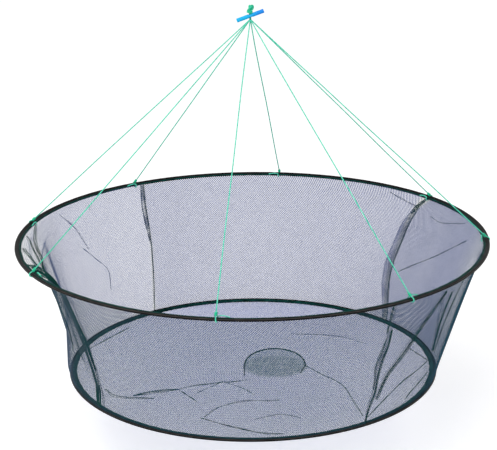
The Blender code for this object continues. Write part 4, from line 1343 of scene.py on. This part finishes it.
pocket_finish = dyed_net("pocket_yarn", (POCKET_GREEN, POCKET_PALE), 0.6)
base_half = (POCKET_HALF_WIDTH + POCKET_MARGIN, POCKET_HALF_DEPTH + POCKET_MARGIN)
base_mesh = net_oval(*base_half, BACKING_PITCH, BACKING_TURN)
base_mesh.transform(Matrix.Translation((*POCKET_MIDDLE, POCKET_BASE)))
pocket_base = pocket_sheet(
    "bait_pocket_backing", [base_mesh], "lower_frame", "bait_pocket_base"
)
top_half = (POCKET_HALF_WIDTH, POCKET_HALF_DEPTH)
top_mesh = lay(net_oval(*top_half, POCKET_PITCH, POCKET_TURN), on_pocket, 1.0)
hem_lines = []
for k in range(HEM_STRANDS):
    t = np.linspace(*HEM_ENDS, HEM_POINTS)
    line = pocket_place(t, np.full(HEM_POINTS, 1 - HEM_ROW * (k // 2)))
    line[:, 2] += HEM_PILE * (k % 2) + HEM_WANDER * np.sin(HEM_WAVES * t + 2 * k)
    hem_lines.append(line)
top_parts = [top_mesh, strand_mesh(hem_lines, HEM_STRAND, POCKET_STEP)]
pocket_sheet(
    "bait_pocket_cloth", top_parts, "pocket", "bait_pocket_net"
)

mouth = []
for t in np.linspace(0, 1, MOUTH_POINTS):
    edge = Vector(pocket_place(np.array([t]), np.array([1.0]))[0])
    turn = math.pi * (1 - t)
    out = Vector((POCKET_HALF_DEPTH * math.cos(turn), POCKET_HALF_WIDTH * math.sin(turn), 0)).normalized()
    edge.z = max(edge.z, POCKET_HINGE + DRAWCORD_RADIUS)
    mouth.append(edge + out * (DRAWCORD_RADIUS + DRAWCORD_GAP))
tails = []
for end, tail, sway in zip((mouth[0], mouth[-1]), DRAWCORD_TAILS, DRAWCORD_SWAY):
    tails.append([end + Vector((sway * share, -tail * share, 0)) for share in (0.2, 0.6, 1)])
drawcord_finish = twisted_polyethylene("dark_drawcord", (DRAWCORD_DARK, DRAWCORD_WORN), 0.6)
# Each run of the cord: its name, the points it goes through, how many it is drawn in, what it stands for
drawcord_runs = [
    ("bait_pocket_cord", [*mouth, *tails[1]], 46, ["bait_pocket_drawcord"]),
    ("bait_pocket_cord_end", [mouth[0], *tails[0]], 15, []),
]
for name, through, points, stands_for in drawcord_runs:
    route = smooth_route(through, points)
    mesh = cord_mesh([route], drawcord_finish, DRAWCORD_LOFT * DRAWCORD_RADIUS, DRAWCORD_TWIST)
    drawcord = place_piece(name, mesh, "pocket", "drawcord", *stands_for)

# Floor, light and camera
# A plain white sweep under and behind the trap, soft light from all round with one broad lamp,
# and the camera a little above the hoop, looking down into it.
STUDIO_REACH = 40.0
STUDIO_DROP = 0.12
STUDIO_WHITE = (0.96, 0.96, 0.96, 1)
STUDIO_GLOW = 0.3
LIGHT_WHITE = (1, 1, 1, 1)
LIGHT_LEVEL = 0.75
LAMP_POWER = 34
LAMP_SIZE = 2.2
LAMP_PLACE = Vector((-0.9, -1.6, 1.6))
LAMP_AIM = Vector((0, 0, -0.4))
CAMERA_PLACE = (-0.0059, -2.5481, 0.4269)
CAMERA_PITCH = 0.3059
CAMERA_ROLL = -0.0088
CAMERA_LENS = 113.617
CAMERA_SENSOR = 36


def looked_at(tree):
    """1 for what the camera sees, straight or through gloss or glass, and 0 for what only lights."""
    ray = add_node(tree, "ShaderNodeLightPath").node.outputs
    seen = sums(tree, "MAXIMUM", ray["Is Camera Ray"], ray["Is Glossy Ray"])
    return sums(tree, "MAXIMUM", seen, ray["Is Transmission Ray"])


white, tree, shader = new_finish(
    "studio_white", Roughness=1.0, Base_Color=STUDIO_WHITE, Specular_IOR_Level=0.0, Emission_Color=LIGHT_WHITE
)
tree.links.new(sums(tree, "MULTIPLY", looked_at(tree), STUDIO_GLOW), shader.inputs["Emission Strength"])
ground = bpy.data.meshes.new("studio_floor")
level = cad_box[0].z - STUDIO_DROP
corners = [(STUDIO_REACH * x, STUDIO_REACH * y, level) for x, y in ((-1, -1), (1, -1), (1, 1), (-1, 1))]
ground.from_pydata(corners, [], [(0, 1, 2, 3)])
ground.materials.append(white)
put_in_scene("studio_floor", ground)

world = bpy.data.worlds.new("studio_light")
bpy.context.scene.world = world
world.use_nodes = True
tree = world.node_tree
tree.nodes.clear()
light, backdrop = (
    add_node(tree, "ShaderNodeBackground", {"Color": LIGHT_WHITE, "Strength": strength})
    for strength in (LIGHT_LEVEL, 1.0)
)
sky = add_node(tree, "ShaderNodeMixShader", {0: looked_at(tree), 1: light, 2: backdrop})
tree.links.new(sky, tree.nodes.new("ShaderNodeOutputWorld").inputs["Surface"])

lamp_data = bpy.data.lights.new("broad_lamp", "AREA")
lamp_data.energy = LAMP_POWER
lamp_data.size = LAMP_SIZE
lamp = put_in_scene("broad_lamp", lamp_data)
lamp.location = LAMP_PLACE
lamp.rotation_euler = (LAMP_AIM - LAMP_PLACE).to_track_quat("-Z", "Y").to_euler()

camera_data = bpy.data.cameras.new("camera")
camera_data.lens = CAMERA_LENS
camera_data.sensor_width = CAMERA_SENSOR
camera = put_in_scene("camera", camera_data)
turn = Matrix.Rotation(math.pi / 2 - CAMERA_PITCH, 3, "X") @ Matrix.Rotation(CAMERA_ROLL, 3, "Z")
camera.location = CAMERA_PLACE
camera.rotation_euler = turn.to_euler()
bpy.context.scene.camera = camera
bpy.context.scene.view_settings.view_transform = "Standard"
